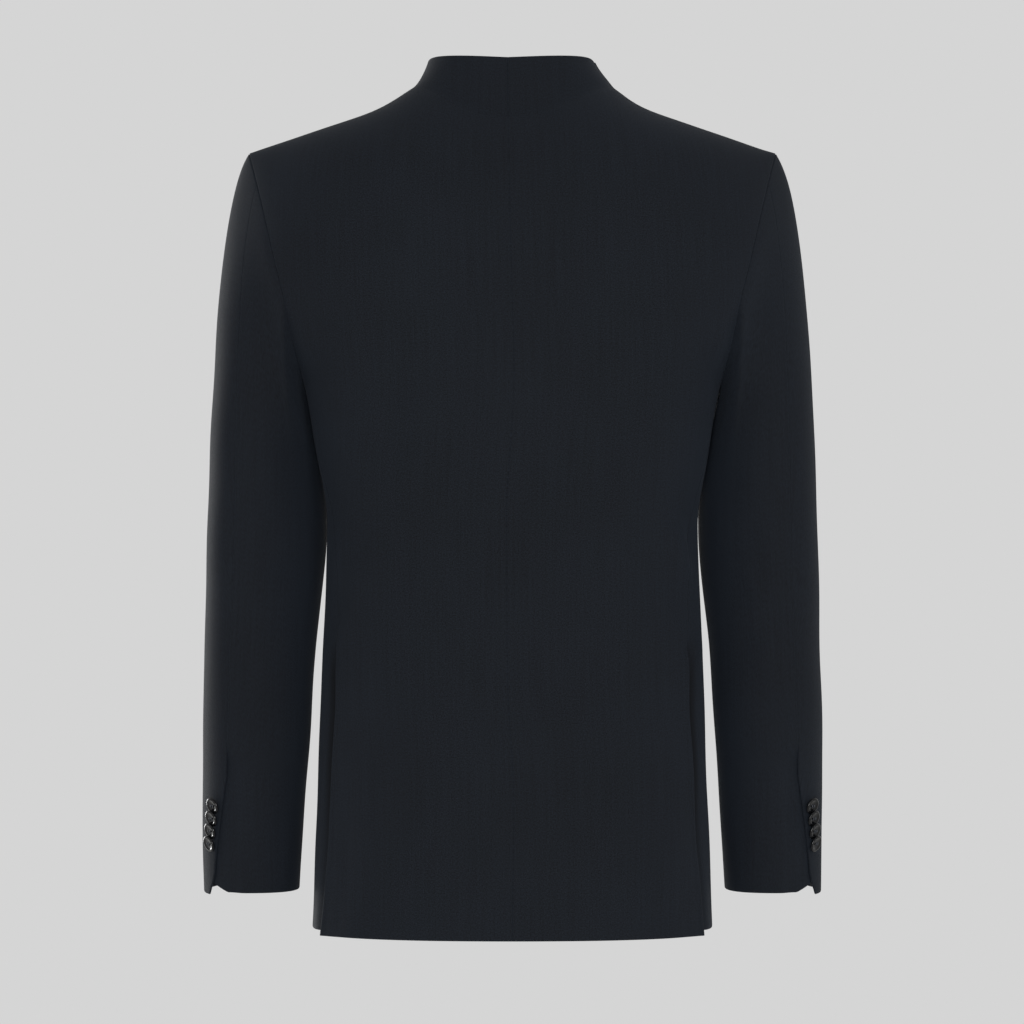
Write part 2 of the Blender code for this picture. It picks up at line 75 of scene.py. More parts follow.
# %% Place the camera
CAMERA_AWAY = 4.5
FRAME_WIDTH = 0.888
FRAME_MIDDLE = Vector((0.0004, 0.0, -0.3667))


def in_scene(name, data):
    """A new object that shows some data, linked to the scene."""
    made = bpy.data.objects.new(name, data)
    bpy.context.scene.collection.objects.link(made)
    return made


camera = in_scene("camera", bpy.data.cameras.new("camera"))
camera.location = FRAME_MIDDLE + Vector((0, CAMERA_AWAY, 0))
camera.rotation_euler = (math.radians(90), 0, math.radians(180))
camera.data.lens = camera.data.sensor_width * CAMERA_AWAY / FRAME_WIDTH
bpy.context.scene.camera = camera
print("lens in mm:", round(camera.data.lens, 1))

# %% [markdown]
# ## Colours and nodes
# Colours are picked from pictures as hex codes, while shaders count light, so one function turns a code to
# linear numbers. One more function adds a node of any kind: its settings, then its inputs, each a plain
# value or a link. Three short ones go with it: a sum or a product of patterns, a mix of two dyes, and a new
# material with the constants of its finish.


# %% Small helpers for materials
def paint(code):
    """The linear red, green, blue and alpha of a colour code such as 1C1F24."""
    shares = [int(code[i : i + 2], 16) / 255 for i in (0, 2, 4)]
    return (*[s / 12.92 if s <= 0.04045 else ((s + 0.055) / 1.055) ** 2.4 for s in shares], 1.0)


def add_node(tree, kind, inputs=None, **settings):
    """Adds a node to a tree, with its settings, and each input as a value or as another node's output."""
    made = tree.nodes.new(kind)
    for name, value in settings.items():
        setattr(made, name, value)
    for name, value in (inputs or {}).items():
        if isinstance(value, bpy.types.NodeSocket):
            tree.links.new(value, made.inputs[name])
        else:
            made.inputs[name].default_value = value
    return made


def maths(tree, operation, *values):
    """The output of a Math node that works on numbers or on other nodes' outputs."""
    return add_node(tree, "ShaderNodeMath", dict(enumerate(values)), operation=operation).outputs[0]


def two_dyes(tree, share, dark, light):
    """A colour between two colour codes, by a share from 0 to 1."""
    colours = {"Factor": share, 6: paint(dark), 7: paint(light)}
    return add_node(tree, "ShaderNodeMix", colours, data_type="RGBA").outputs[2]


def new_material(name, finish):
    """A material with the constants of its finish, with its tree and its surface node to add patterns to."""
    made = bpy.data.materials.new(name)
    made.use_nodes = True
    surface = made.node_tree.nodes["Principled BSDF"]
    for socket, value in finish.items():
        surface.inputs[socket].default_value = value
    return made, made.node_tree, surface


print("mid grey in linear light:", [round(share, 3) for share in paint("808080")])

# %% [markdown]
# ## Studio
# The light is that of a plain studio: a pale grey room, a large fill lamp behind and below the camera, and a
# key lamp beside it. Rough cloth under such frontal light keeps nearly the same tone where it turns, as
# pressed wool does in a photograph. A small lamp on each side draws the outer edges of the sleeves, and one
# lamp lights the front from far enough round that it doesn't shine through the space between body and
# sleeve. The floor lies as far below as it would under a standing wearer.

# %% Room, lamps and floor
ROOM = "D5D5D5"
Lamp = namedtuple("Lamp", "name place target size watts")
LAMPS = (
    Lamp("fill_lamp", (0.2, 5.4, -1.0), (0, 0, -0.45), 2.0, 155),
    Lamp("key_lamp", (-1.6, 4.0, 0.0), (0, 0, -0.40), 1.4, 44),
    Lamp("left_edge_lamp", (2.6, 1.3, -0.3), (0.2, 0, -0.55), 0.5, 4),
    Lamp("right_edge_lamp", (-2.6, 1.3, -0.3), (-0.2, 0, -0.55), 0.5, 4),
    Lamp("front_lamp", (2.6, -2.7, -0.5), (0, 0, -0.35), 1.6, 95),
)
FLOOR_LEVEL = -1.5
FLOOR_HALF = 3.0

world = bpy.data.worlds.new("studio")
world.use_nodes = True
world.node_tree.nodes["Background"].inputs["Color"].default_value = paint(ROOM)
bpy.context.scene.world = world
bpy.context.scene.view_settings.view_transform = "Standard"
for lamp in LAMPS:
    light = bpy.data.lights.new(lamp.name, "AREA")
    light.size = lamp.size
    light.energy = lamp.watts
    holder = in_scene(lamp.name, light)
    holder.location = lamp.place
    holder.rotation_euler = (Vector(lamp.target) - Vector(lamp.place)).to_track_quat("-Z", "Y").to_euler()

floor_mesh = bpy.data.meshes.new("floor")
corners = [(x * FLOOR_HALF, y * FLOOR_HALF, FLOOR_LEVEL) for x, y in ((-1, -1), (1, -1), (1, 1), (-1, 1))]
floor_mesh.from_pydata(corners, [], [(0, 1, 2, 3)])
# Pale matt paint: a quiet ground with no reflection of the jacket
floor_paint, _, _ = new_material("matt_floor_paint", {"Base Color": paint("DADAD8"), "Roughness": 0.9})
floor_mesh.materials.append(floor_paint)
floor = in_scene("floor", floor_mesh)
print("lamps:", [lamp.name for lamp in LAMPS])

# %% [markdown]
# ## Wool
# The cloth is worsted wool: long combed fibres, spun fine, woven plain and pressed. To the eye that is a
# nearly black blue-grey, matt, with a faint upright grain where the warp yarns differ, small flecks, and a
# slow bloom of tone from place to place. Patterns of the yarn follow each piece's own UV map, which is drawn
# in metres along the grain, so they never stretch. A real thread is about 0.4 mm, too fine for this picture,
# so the weave is drawn at 1.1 mm. Where one layer is tucked under another, little light reaches it, so a
# shadow is painted there: a point attribute darkens the dye.

# %% Worsted wool
WEAVE_PITCH = 0.0011
WEAVE_SHARE = 1.6
GRAIN_WIDTH = 0.0024
GRAIN_LENGTH = 0.090
GRAIN_SHARE = 0.2
FLECK_SIZE = 0.0012
BLOOM_SIZE = 0.11
BLOOM_SHARE = 0.2
TONE_RANGE = (0.46, 0.98)
RELIEF_STRENGTH = 0.35
RELIEF_HEIGHT = 0.0003
# A wave texture counts 20 radians for each unit of its scaled place, and swings evenly about its middle
WAVE_TURN = 20 / (2 * math.pi)
WAVE_MIDDLE = 0.5

# Matt and rough, with a faint pale edge where the cloth turns away
wool, tree, surface = new_material(
    "worsted_wool",
    {
        "Roughness": 0.88,
        "Diffuse Roughness": 1.0,
        "Specular IOR Level": 0.18,
        "Sheen Weight": 0.03,
        "Sheen Roughness": 0.45,
        "Sheen Tint": paint("8D97A6"),
    },
)
grain_map = add_node(tree, "ShaderNodeUVMap", uv_map="grain").outputs["UV"]
weave_scale = {"Vector": grain_map, "Scale": 1 / (WEAVE_PITCH * WAVE_TURN)}
warp = add_node(tree, "ShaderNodeTexWave", weave_scale, bands_direction="X")
weft = add_node(tree, "ShaderNodeTexWave", weave_scale, bands_direction="Y")
warp_over = maths(tree, "SUBTRACT", warp.outputs["Fac"], WAVE_MIDDLE)
weft_over = maths(tree, "SUBTRACT", weft.outputs["Fac"], WAVE_MIDDLE)
weave = maths(tree, "MULTIPLY", warp_over, weft_over)
grain_scale = {"Vector": grain_map, "Scale": (1 / GRAIN_WIDTH, 1 / GRAIN_LENGTH, 1)}
stretch = add_node(tree, "ShaderNodeMapping", grain_scale)
grain = add_node(tree, "ShaderNodeTexNoise", {"Vector": stretch.outputs[0], "Scale": 1.0, "Detail": 3.0})
fleck = add_node(tree, "ShaderNodeTexNoise", {"Vector": grain_map, "Scale": 1 / FLECK_SIZE, "Detail": 2.0})
place_map = add_node(tree, "ShaderNodeTexCoord").outputs["Object"]
bloom = add_node(tree, "ShaderNodeTexNoise", {"Vector": place_map, "Scale": 1 / BLOOM_SIZE, "Detail": 2.0})
yarn = maths(tree, "MULTIPLY_ADD", grain.outputs["Fac"], GRAIN_SHARE, fleck.outputs["Fac"])
yarn = maths(tree, "MULTIPLY_ADD", bloom.outputs["Fac"], BLOOM_SHARE, yarn)
low, high = TONE_RANGE
tone = add_node(tree, "ShaderNodeMapRange", {"Value": yarn, "From Min": low, "From Max": high})
# Painted shadow: a point attribute from 0 to 1, where one layer lies under another, darkens the dye
tucked = add_node(tree, "ShaderNodeAttribute", attribute_name="tucked")
in_light = maths(tree, "SUBTRACT", 1.0, tucked.outputs["Fac"])
tone = maths(tree, "MULTIPLY", tone.outputs[0], in_light)
tree.links.new(two_dyes(tree, tone, "03050A", "141A22"), surface.inputs["Base Color"])
height = maths(tree, "MULTIPLY_ADD", weave, WEAVE_SHARE, yarn)
raised = {"Height": height, "Strength": RELIEF_STRENGTH, "Distance": RELIEF_HEIGHT}
tree.links.new(add_node(tree, "ShaderNodeBump", raised).outputs[0], surface.inputs["Normal"])
print("wool weave drawn at", WEAVE_PITCH * 1000, "mm")

# %% [markdown]
# ## Curves through tables
# A tailor works from a few measurements at named places. The same idea runs this script: each table has a
# row for each height or angle, and `through` draws a smooth line through one of its columns without
# overshooting.


# %% Helpers that read the tables
def hermite(start, leave, end, arrive, t):
    """The cubic that leaves start and arrives at end with the given tangents."""
    return (
        (2 * t**3 - 3 * t**2 + 1) * start
        + (t**3 - 2 * t**2 + t) * leave
        + (3 * t**2 - 2 * t**3) * end
        + (t**3 - t**2) * arrive
    )


def through(rows, knot, column, at):
    """A smooth curve with no overshoot through one column of a table, read at the given places."""
    places = np.array([getattr(row, knot) for row in rows])
    values = np.array([getattr(row, column) for row in rows])
    step = np.diff(places)
    slope = np.diff(values) / step
    product = slope[:-1] * slope[1:]
    total = np.where(product > 0, slope[:-1] + slope[1:], 1)
    inner = np.where(product > 0, 2 * product / total, 0)
    tangent = np.concatenate([slope[:1], inner, slope[-1:]])
    i = np.clip(np.searchsorted(places, at) - 1, 0, len(step) - 1)
    t = np.clip((at - places[i]) / step[i], 0, 1)
    return hermite(values[i], tangent[i] * step[i], values[i + 1], tangent[i + 1] * step[i], t)


def ramp(value, low, high):
    """0 below low, 1 above high, with a soft rise between."""
    t = np.clip((value - low) / (high - low), 0, 1)
    return t * t * (3 - 2 * t)


def unit(vectors):
    """The same directions with a length of one."""
    return vectors / np.linalg.norm(vectors, axis=-1, keepdims=True)


print("a soft rise at quarter steps:", ramp(np.linspace(0, 1, 5), 0, 1).round(2).tolist())

# %% [markdown]
# ## The cut of the body
# These are the sizes that the solids were cut by: rounded sections of a general figure from hem to shoulder,
# the line of the side seam, and the edge of the armhole. Repeating them here, rather than smoothing the
# solids, gives exact points as close together as the folds need.

# %% Sizes of the body
HEM = -0.7295
FRONT_HEM = -0.7257
UNDERARM = -0.256
SHOULDER_HALF = 0.228
SHOULDER_SLOPE = 0.329
NECK_HALF = 0.086
NECK_DROP = 0.0092
NECK_LEVEL_REACH = 0.030
NECK_FLARE = 0.0118
NECK_FLARE_MIDDLE = 0.070
NECK_FLARE_REACH = 0.032
NECK_FLARE_POWER = 8
BACK = 1
FRONT = -1
PROBE = 0.0001

BodySection = namedtuple("BodySection", "height half_width back front ridge squareness")
BODY_SECTIONS = (
    BodySection(HEM, 0.1735, 0.118, 0.120, 0.000, 2.40),
    BodySection(-0.600, 0.1685, 0.117, 0.116, 0.004, 2.40),
    BodySection(-0.486, 0.1640, 0.108, 0.114, 0.010, 2.30),
    BodySection(-0.379, 0.1600, 0.103, 0.114, 0.015, 2.20),
    BodySection(-0.319, 0.1690, 0.110, 0.118, 0.015, 2.25),
    BodySection(-0.252, 0.1815, 0.117, 0.122, 0.014, 2.35),
    BodySection(-0.215, 0.2050, 0.118, 0.122, 0.010, 2.50),
    BodySection(-0.180, 0.2270, 0.118, 0.122, 0.006, 2.50),
    BodySection(-0.120, 0.2320, 0.118, 0.122, 0.000, 2.50),
    BodySection(0.000, 0.2320, 0.118, 0.122, 0.000, 2.50),
)
print("body from", HEM, "to the shoulder, sections:", len(BODY_SECTIONS))

# %% Lines of the side seam, the armhole and the yoke
SideSeam = namedtuple("SideSeam", "height angle")
SIDE_SEAM = (
    SideSeam(HEM, 63.5),
    SideSeam(-0.690, 61.5),
    SideSeam(-0.640, 60.0),
    SideSeam(-0.545, 60.0),
    SideSeam(-0.490, 62.5),
    SideSeam(-0.379, 70.0),
    SideSeam(UNDERARM, 95.0),
)
Armhole = namedtuple("Armhole", "height back front")
ARMHOLE = (
    Armhole(UNDERARM, 0.1800, 0.1798),
    Armhole(-0.245, 0.1825, 0.1797),
    Armhole(-0.221, 0.1880, 0.1815),
    Armhole(-0.185, 0.1950, 0.1865),
    Armhole(-0.149, 0.2020, 0.1925),
    Armhole(-0.102, 0.2100, 0.2035),
    Armhole(-0.049, 0.2190, 0.2165),
    Armhole(0.000, SHOULDER_HALF, SHOULDER_HALF),
)
Yoke = namedtuple("Yoke", "start roundness neck_depth")
BACK_YOKE = Yoke(-0.180, 2.4, 0.077)
FRONT_YOKE = Yoke(-0.230, 1.5, 0.078)
print("underarm below the neck point in mm:", round(-UNDERARM * 1000))


# %% Points on the body
def body(column, height):
    """One column of the body's sections at a height."""
    return through(BODY_SECTIONS, "height", column, height)


def angle_across(distance, height):
    """The angle from a panel's centre line at which a section is this far from the middle."""
    share = np.minimum(distance / body("half_width", height), 1)
    squareness = body("squareness", height)
    return np.arctan2(share, (1 - share**squareness) ** (1 / squareness))


def section(angle, height, facing):
    """How far a section lies across and back at an angle from the centre back or the centre front."""
    squareness = body("squareness", height)
    sine, cosine = np.sin(angle), np.cos(angle)
    reach = (np.abs(sine) ** squareness + np.abs(cosine) ** squareness) ** (-1 / squareness)
    ridge = body("ridge", height)
    on_back = cosine * facing > 0
    depth = np.where(on_back, body("back", height) - ridge, body("front", height) + ridge)
    return body("half_width", height) * sine * reach, ridge, facing * depth * cosine * reach


def shoulder_height(across):
    """The straight line of the shoulder, which levels off inside the neck."""
    past = np.abs(across) - NECK_HALF
    inside = SHOULDER_SLOPE * NECK_LEVEL_REACH * (1 - np.exp(np.minimum(past, 0) / NECK_LEVEL_REACH))
    return inside - SHOULDER_SLOPE * np.maximum(past, 0) - NECK_DROP


def neck_flare(across, lift):
    """How much the cloth near the shoulder seam turns up towards the collar."""
    beside = (np.abs(across) - NECK_FLARE_MIDDLE) / NECK_FLARE_REACH
    return NECK_FLARE * np.exp(-(beside**2)) * lift**NECK_FLARE_POWER


def side_edge(height, facing):
    """The angle from the panel's centre line to the side seam, or to the armhole above it."""
    seam = np.radians(through(SIDE_SEAM, "height", "angle", height))
    seam = seam if facing == BACK else math.pi - seam
    distance = through(ARMHOLE, "height", "back" if facing == BACK else "front", height)
    return np.where(height <= UNDERARM, seam, angle_across(distance, height))


def place(angle, height, turn, facing, yoke):
    """Points on the body at angles from a panel's centre line, where turn counts the lean over the yoke."""
    across, ridge, depth = section(angle, height, facing)
    lift = np.sin(turn) ** (2 / yoke.roundness)
    leaning = yoke.start + (shoulder_height(across) - yoke.start) * lift + neck_flare(across, lift)
    up = np.where(turn > 0, leaning, height)
    return np.stack([across, ridge + depth * np.cos(turn) ** (2 / yoke.roundness), up], axis=-1)


def outward(angle, height, turn, facing, yoke):
    """Unit normals of the body at the same points."""
    ahead = place(angle + PROBE, height, turn, facing, yoke)
    around = ahead - place(angle - PROBE, height, turn, facing, yoke)
    lower_height = np.where(turn > 0, height, height - PROBE)
    lower = place(angle, lower_height, np.maximum(turn - PROBE, 0), facing, yoke)
    rise = place(angle, height, turn, facing, yoke) - lower
    return -facing * unit(np.cross(around, rise))


print("half the hem in mm:", round(float(section(math.pi / 2, HEM, BACK)[0]) * 1000, 1))

# %% [markdown]
# ## Fine grids for the panels
# A panel is a grid: rows run around the body and columns run from hem to shoulder, like warp and weft. Rows
# follow the hem, then the armhole, then lean over the yoke, and the columns gather towards the neck. The
# front also carries the lap of the closure, a rounded hem corner and the strip that runs on under the side
# vent.

# %% Body panels
FINE_DOWN = 8
FINE_ACROSS = 6
HEM_ROWS = 14
ARMHOLE_ROWS = 4
ARMHOLE_ROW_POWER = 1.6
YOKE_ROWS = 8
NECK_COLUMNS = 6
SHOULDER_COLUMNS = 7
NECK_ROW_POWER = 1.8
NECK_GATHER_POWER = 0.4
VENT_ROW = 7
VENT_UNDERLAP = math.radians(13)
FRONT_LAP = 0.020
FRONT_LAP_COLUMNS = 2
FRONT_CORNER = 0.045
UNDERARM_REACH = 0.060
UNDERARM_POWER = 12


def panel_angles(rows, facing, shares):
    """Angles of the columns, of which only the last few follow the step at the top of the side seam."""
    step = side_edge(np.array(UNDERARM), facing) - side_edge(np.array(UNDERARM + PROBE), facing)
    below = np.where(rows <= UNDERARM, ramp(rows, UNDERARM - UNDERARM_REACH, UNDERARM), 0)
    return side_edge(rows, facing) * shares - step * below * (shares - shares**UNDERARM_POWER)


def body_panel(facing, yoke):
    """The left panel's points and normals, with the angle of each point and its place in the solid's rows."""
    neck_points = NECK_HALF * np.sin(np.linspace(0, math.pi / 2, NECK_COLUMNS * FINE_ACROSS + 1))
    neck_shares = angle_across(neck_points, 0.0) / angle_across(SHOULDER_HALF, 0.0)
    shoulder_shares = np.linspace(neck_shares[-1], 1, SHOULDER_COLUMNS * FINE_ACROSS + 1)
    top_shares = np.concatenate([neck_shares, shoulder_shares[1:]])
    even_shares = np.linspace(0, 1, len(top_shares))
    hem_rows = np.linspace(HEM if facing == BACK else FRONT_HEM, UNDERARM, HEM_ROWS * FINE_DOWN + 1)
    share_up = np.linspace(0, 1, ARMHOLE_ROWS * FINE_DOWN + 1)[1:] ** ARMHOLE_ROW_POWER
    armhole_rows = UNDERARM + (yoke.start - UNDERARM) * share_up
    yoke_steps = np.linspace(0, 1, YOKE_ROWS * FINE_DOWN + 1)[1:]
    yoke_rows = yoke.start * (1 - np.sin(yoke_steps * math.pi / 2) ** (2 / yoke.roundness))
    rows = np.concatenate([hem_rows, armhole_rows, yoke_rows])[:, None]
    row_number = np.arange(len(rows))[:, None] / FINE_DOWN
    gather = np.concatenate([0 * hem_rows, 0 * armhole_rows, 1 - (1 - yoke_steps) ** NECK_GATHER_POWER])
    shares = even_shares + (top_shares - even_shares) * gather[:, None]
    angles = panel_angles(rows, facing, shares)
    heights = rows + 0 * angles
    if facing == FRONT:
        underlap = VENT_UNDERLAP * np.clip(VENT_ROW - row_number, 0, 1)
        angles = angles + underlap * shares
        laps = np.linspace(FRONT_LAP, 0, FRONT_LAP_COLUMNS * FINE_ACROSS + 1)[:-1]
        angles = np.hstack([-angle_across(laps, rows), angles])
        from_edge = section(angles[0], HEM, facing)[0] + FRONT_LAP
        short = np.clip(FRONT_CORNER - from_edge, 0, FRONT_CORNER)
        rounding = FRONT_CORNER - np.sqrt(FRONT_CORNER**2 - short**2)
        heights = rows + rounding * np.clip((UNDERARM - rows) / (UNDERARM - HEM), 0, 1)
    across, _, depth = section(angles[-1], 0.0, facing)
    neck = yoke.neck_depth * np.sqrt(np.clip(1 - (across / NECK_HALF) ** 2, 0, 1))
    last_turn = np.arccos(np.clip(neck / np.abs(depth), 0, 1) ** (yoke.roundness / 2))
    turn = np.zeros_like(angles)
    steps = yoke_steps[:, None]
    lean = math.pi / 2 * steps - (math.pi / 2 - last_turn) * steps**NECK_ROW_POWER
    turn[-len(steps) :] = np.maximum(lean, PROBE)
    where = (angles, heights, turn, facing, yoke)
    return place(*where), outward(*where), angles, row_number


back_grid, back_out, back_angles, back_rows = body_panel(BACK, BACK_YOKE)
front_grid, front_out, front_angles, front_rows = body_panel(FRONT, FRONT_YOKE)
print("back grid", back_grid.shape[:2], "front grid", front_grid.shape[:2])

# %% [markdown]
# ## Steps where cloth lies under cloth
# At each side vent the front runs on under the back, and at the centre the right front lies under the left
# one. The lower layer has to step inwards by one thickness and a little air, so it is moved along its
# normals. The back's vent edge, which is free to swing, stands away from it a little and has a narrow raised
# rim. Beside that rim a shadow is painted on the front by darkening its dye, so that the vent reads as a
# dark line even in frontal light.

# %% Steps of the vents and of the closure
BODY_CLOTH = 0.0018
LAP_GAP = 0.0009
FRONT_LAP_GAP = 0.0006
VENT_STEP_START = math.radians(9)
VENT_STEP_END = math.radians(2)
FRONT_STEP_NEAR = 0.026
FRONT_STEP_FAR = 0.060
VENT_FLARE = 0.0026
VENT_FLARE_REACH = math.radians(10)
VENT_FLARE_ROWS = (7.5, 3.0)
VENT_RIM = 0.0014
VENT_RIM_REACH = math.radians(2.6)
VENT_RIM_ROWS = (7.5, 6.5)
# Where a shadow is painted on the front beside the vent: angles before the side seam, and rows up it
VENT_SHADE_START = math.radians(8.0)
VENT_SHADE_END = math.radians(4.5)
VENT_SHADE_ROWS = (1.0, 4.0)
VENT_SHADE_TOP = VENT_ROW + 0.5

below_arm = np.linspace(FRONT_HEM, UNDERARM, HEM_ROWS * FINE_DOWN + 1)
above_arm = np.full(len(front_rows) - len(below_arm), UNDERARM)
front_heights = np.concatenate([below_arm, above_arm])[:, None]
seam_angle = math.pi - np.radians(through(SIDE_SEAM, "height", "angle", front_heights))
beside_vent = ramp(front_angles, seam_angle - VENT_STEP_START, seam_angle - VENT_STEP_END)
vent_step = beside_vent * np.clip(VENT_ROW + 1 - front_rows, 0, 1) * (BODY_CLOTH + LAP_GAP)
front_grid = front_grid - front_out * vent_step[..., None]
near_closure = 1 - ramp(front_grid[..., 0], FRONT_STEP_NEAR, FRONT_STEP_FAR)
under_front_grid = front_grid - front_out * (near_closure * (BODY_CLOTH + FRONT_LAP_GAP))[..., None]
back_edge = back_angles[:, -1:]
vent_flare = ramp(back_angles, back_edge - VENT_FLARE_REACH, back_edge) * ramp(back_rows, *VENT_FLARE_ROWS)
vent_rim = ramp(back_angles, back_edge - VENT_RIM_REACH, back_edge) * ramp(back_rows, *VENT_RIM_ROWS)
back_grid = back_grid + back_out * (VENT_FLARE * vent_flare + VENT_RIM * vent_rim)[..., None]
# Painted shadow on the front: full beside the side seam under the back's vent edge, fading away from it, gone
# above the vent
front_painted_shade = ramp(front_angles, seam_angle - VENT_SHADE_START, seam_angle - VENT_SHADE_END)
front_painted_shade = front_painted_shade * ramp(front_rows, *VENT_SHADE_ROWS) * np.clip(VENT_SHADE_TOP - front_rows, 0, 1)
print("vent step and flare in mm:", round(vent_step.max() * 1000, 2), VENT_FLARE * 1000)

# %% [markdown]
# ## Collar
# The stand rises from the neck seam and leans in towards the neck. Each of its columns is one cubic curve
# that leaves the neck seam along the line of the shoulder, so that the back flows into the collar with
# hardly a break.

# %% Collar grid
COLLAR_HALF = 0.0715
COLLAR_BACK = 0.062
COLLAR_FRONT = 0.068
COLLAR_CORNER = 0.012
COLLAR_LEAVE = 0.7
COLLAR_LEAN = 0.6
COLLAR_FRONT_GAP = 0.0015
COLLAR_ROWS = 32
CollarTop = namedtuple("CollarTop", "angle height")
COLLAR_TOP = (
    CollarTop(0, 0.0228),
    CollarTop(60, 0.0258),
    CollarTop(90, 0.0235),
    CollarTop(130, 0.000),
    CollarTop(180, -0.047),
)


def normals(grid, sign):
    """Unit normals of a grid, from the steps between its rows and its columns."""
    down_rows = np.gradient(grid, axis=0, edge_order=2)
    along_columns = np.gradient(grid, axis=1, edge_order=2)
    return sign * unit(np.cross(along_columns, down_rows))


neck_ends = NECK_COLUMNS * FINE_ACROSS + 1
closure = FRONT_LAP_COLUMNS * FINE_ACROSS
front_neck = slice(closure, closure + neck_ends - 1)
neck = np.concatenate([back_grid[-1, :neck_ends], front_grid[-1, front_neck][::-1]])
neck_out = np.concatenate([back_out[-1, :neck_ends], front_out[-1, front_neck][::-1]])
neck_way = np.gradient(neck, axis=0, edge_order=2)
neck_up = unit(np.cross(neck_out, neck_way))
neck_up *= np.sign(neck_up[:, 2:])
round_neck = np.arctan2(neck[:, 0], neck[:, 1])
collar_height = through(COLLAR_TOP, "angle", "height", np.degrees(round_neck))
from_front = np.linalg.norm(neck - neck[-1], axis=-1)
corner_short = np.clip(COLLAR_CORNER - from_front, 0, COLLAR_CORNER)
collar_height -= COLLAR_CORNER - np.sqrt(COLLAR_CORNER**2 - corner_short**2)
collar_depth = np.where(np.cos(round_neck) > 0, COLLAR_BACK, COLLAR_FRONT)
collar_edge = np.stack(
    [COLLAR_HALF * np.sin(round_neck), collar_depth * np.cos(round_neck), collar_height], axis=-1
)
collar_rise = np.linalg.norm(collar_edge - neck, axis=-1, keepdims=True)
collar_upright = unit(COLLAR_LEAN * unit(collar_edge - neck) + np.array([0, 0, 1 - COLLAR_LEAN]))
collar_grid = np.stack(
    [
        hermite(neck, neck_up * collar_rise * COLLAR_LEAVE, collar_edge, collar_upright * collar_rise, t)
        for t in np.linspace(0, 1, COLLAR_ROWS + 1)
    ]
)
end_gap = COLLAR_FRONT_GAP / 2 * np.clip(1 - from_front / COLLAR_CORNER, 0, 1)
collar_grid[..., 0] += end_gap
collar_grid[:, 0, 0] = 0
collar_out = normals(collar_grid, -1)
for centre_out in (back_out[:, 0], collar_out[:, 0]):
    centre_out[:, 0] = 0
    centre_out[:] = unit(centre_out)
print("collar height at the back in mm:", round(collar_rise[0, 0] * 1000, 1))

# %% [markdown]
# ## Sleeves
# A tailored sleeve has two pieces: a top sleeve outside and an under sleeve towards the body, with one seam
# along the elbow and one along the forearm. The head is drawn from the armhole to the first full section of
# the arm, then the sections follow the bend of the arm down to the cuff, where the top sleeve ends in a vent
# over the under sleeve. At the armhole the sleeve's own edge is turned in under the body's edge, as a seam
# is, so that no light shows through it.

# %% Sizes of the sleeves
SLEEVE_CLOTH = 0.0016
CAP_END = -0.340
CUFF = -0.697
CUFF_VENT_TOP = -0.595
CUFF_NOTCH = 0.0088
CUFF_SLOPE = 0.0065
CUFF_NOTCH_POWER = 8
CUFF_NOTCH_START = 60
ELBOW_SEAM = 60
FOREARM_SEAM = 240
VENT_EDGE_AT_CUFF = 39
VENT_TIP = 10
VENT_TIP_START = 0.82
VENT_TIP_POWER = 1.6
VENT_TIP_RISE = -0.0026
VENT_LAP = 30
CUFF_STEP_START = 85
CUFF_STEP_END = 65
CAP_ARRIVE = 0.8
CAP_ROWS = 54
SEAM_TUCK_IN = 0.0005
SEAM_TUCK_DOWN = 0.0018
SEAM_ROW = 0.3
ARM_ROWS = 64
CUFF_ROWS = 56
CuffStep = namedtuple("CuffStep", "start end")
UNDER_STEP = CuffStep(CUFF_VENT_TOP + 0.030, CUFF_VENT_TOP + 0.012)
UNDER_LAP = CuffStep(CUFF_VENT_TOP + 0.024, CUFF_VENT_TOP + 0.002)

print("cuff vent in mm:", round((CUFF_VENT_TOP - CUFF) * 1000))

# %% Sections of the sleeves
SleeveSection = namedtuple("SleeveSection", "height outer inner back front lead")
SLEEVE_SECTIONS = (
    SleeveSection(CUFF, 0.2694, 0.1860, 0.008, 0.080, 0.000),
    SleeveSection(-0.653, 0.2704, 0.1830, 0.015, 0.078, 0.000),
    SleeveSection(-0.570, 0.2700, 0.1770, 0.030, 0.075, 0.002),
    SleeveSection(-0.486, 0.2672, 0.1715, 0.048, 0.066, 0.016),
    SleeveSection(-0.379, 0.2640, 0.1622, 0.071, 0.056, 0.042),
    SleeveSection(CAP_END, 0.2626, 0.1632, 0.076, 0.058, 0.044),
    SleeveSection(-0.300, 0.2610, 0.1650, 0.080, 0.060, 0.044),
)
CapStart = namedtuple("CapStart", "angle out back down")
CAP_STARTS = (
    CapStart(0, 0.080, 0.000, 0.110),
    CapStart(90, 0.030, 0.012, 0.130),
    CapStart(150, 0.014, -0.016, 0.085),
    CapStart(180, -0.004, -0.030, 0.060),
    CapStart(210, 0.006, -0.024, 0.085),
    CapStart(270, 0.030, -0.014, 0.120),
    CapStart(360, 0.080, 0.000, 0.110),
)


def sleeve_ring(angle, height):
    """Points around the sleeve at a height, whose inner side lies a little forward of its outer side."""
    size = {name: through(SLEEVE_SECTIONS, "height", name, height) for name in SleeveSection._fields[1:]}
    across = (size["outer"] + size["inner"]) / 2 + (size["outer"] - size["inner"]) / 2 * np.cos(angle)
    back = (size["back"] - size["front"]) / 2 + (size["back"] + size["front"]) / 2 * np.sin(angle)
    back = back - size["lead"] * (1 - np.cos(angle)) / 2
    return np.stack(np.broadcast_arrays(across, back, height), axis=-1)


print("cuff across in mm:", round((SLEEVE_SECTIONS[0].outer - SLEEVE_SECTIONS[0].inner) * 1000, 1))

# %% Sleeve head
underarm_row = HEM_ROWS * FINE_DOWN


def round_armhole(back, front):
    """One line round the armhole, from the shoulder down the back panel and up the front one."""
    return np.concatenate([back[underarm_row:][::-1], front[underarm_row + 1 :]])


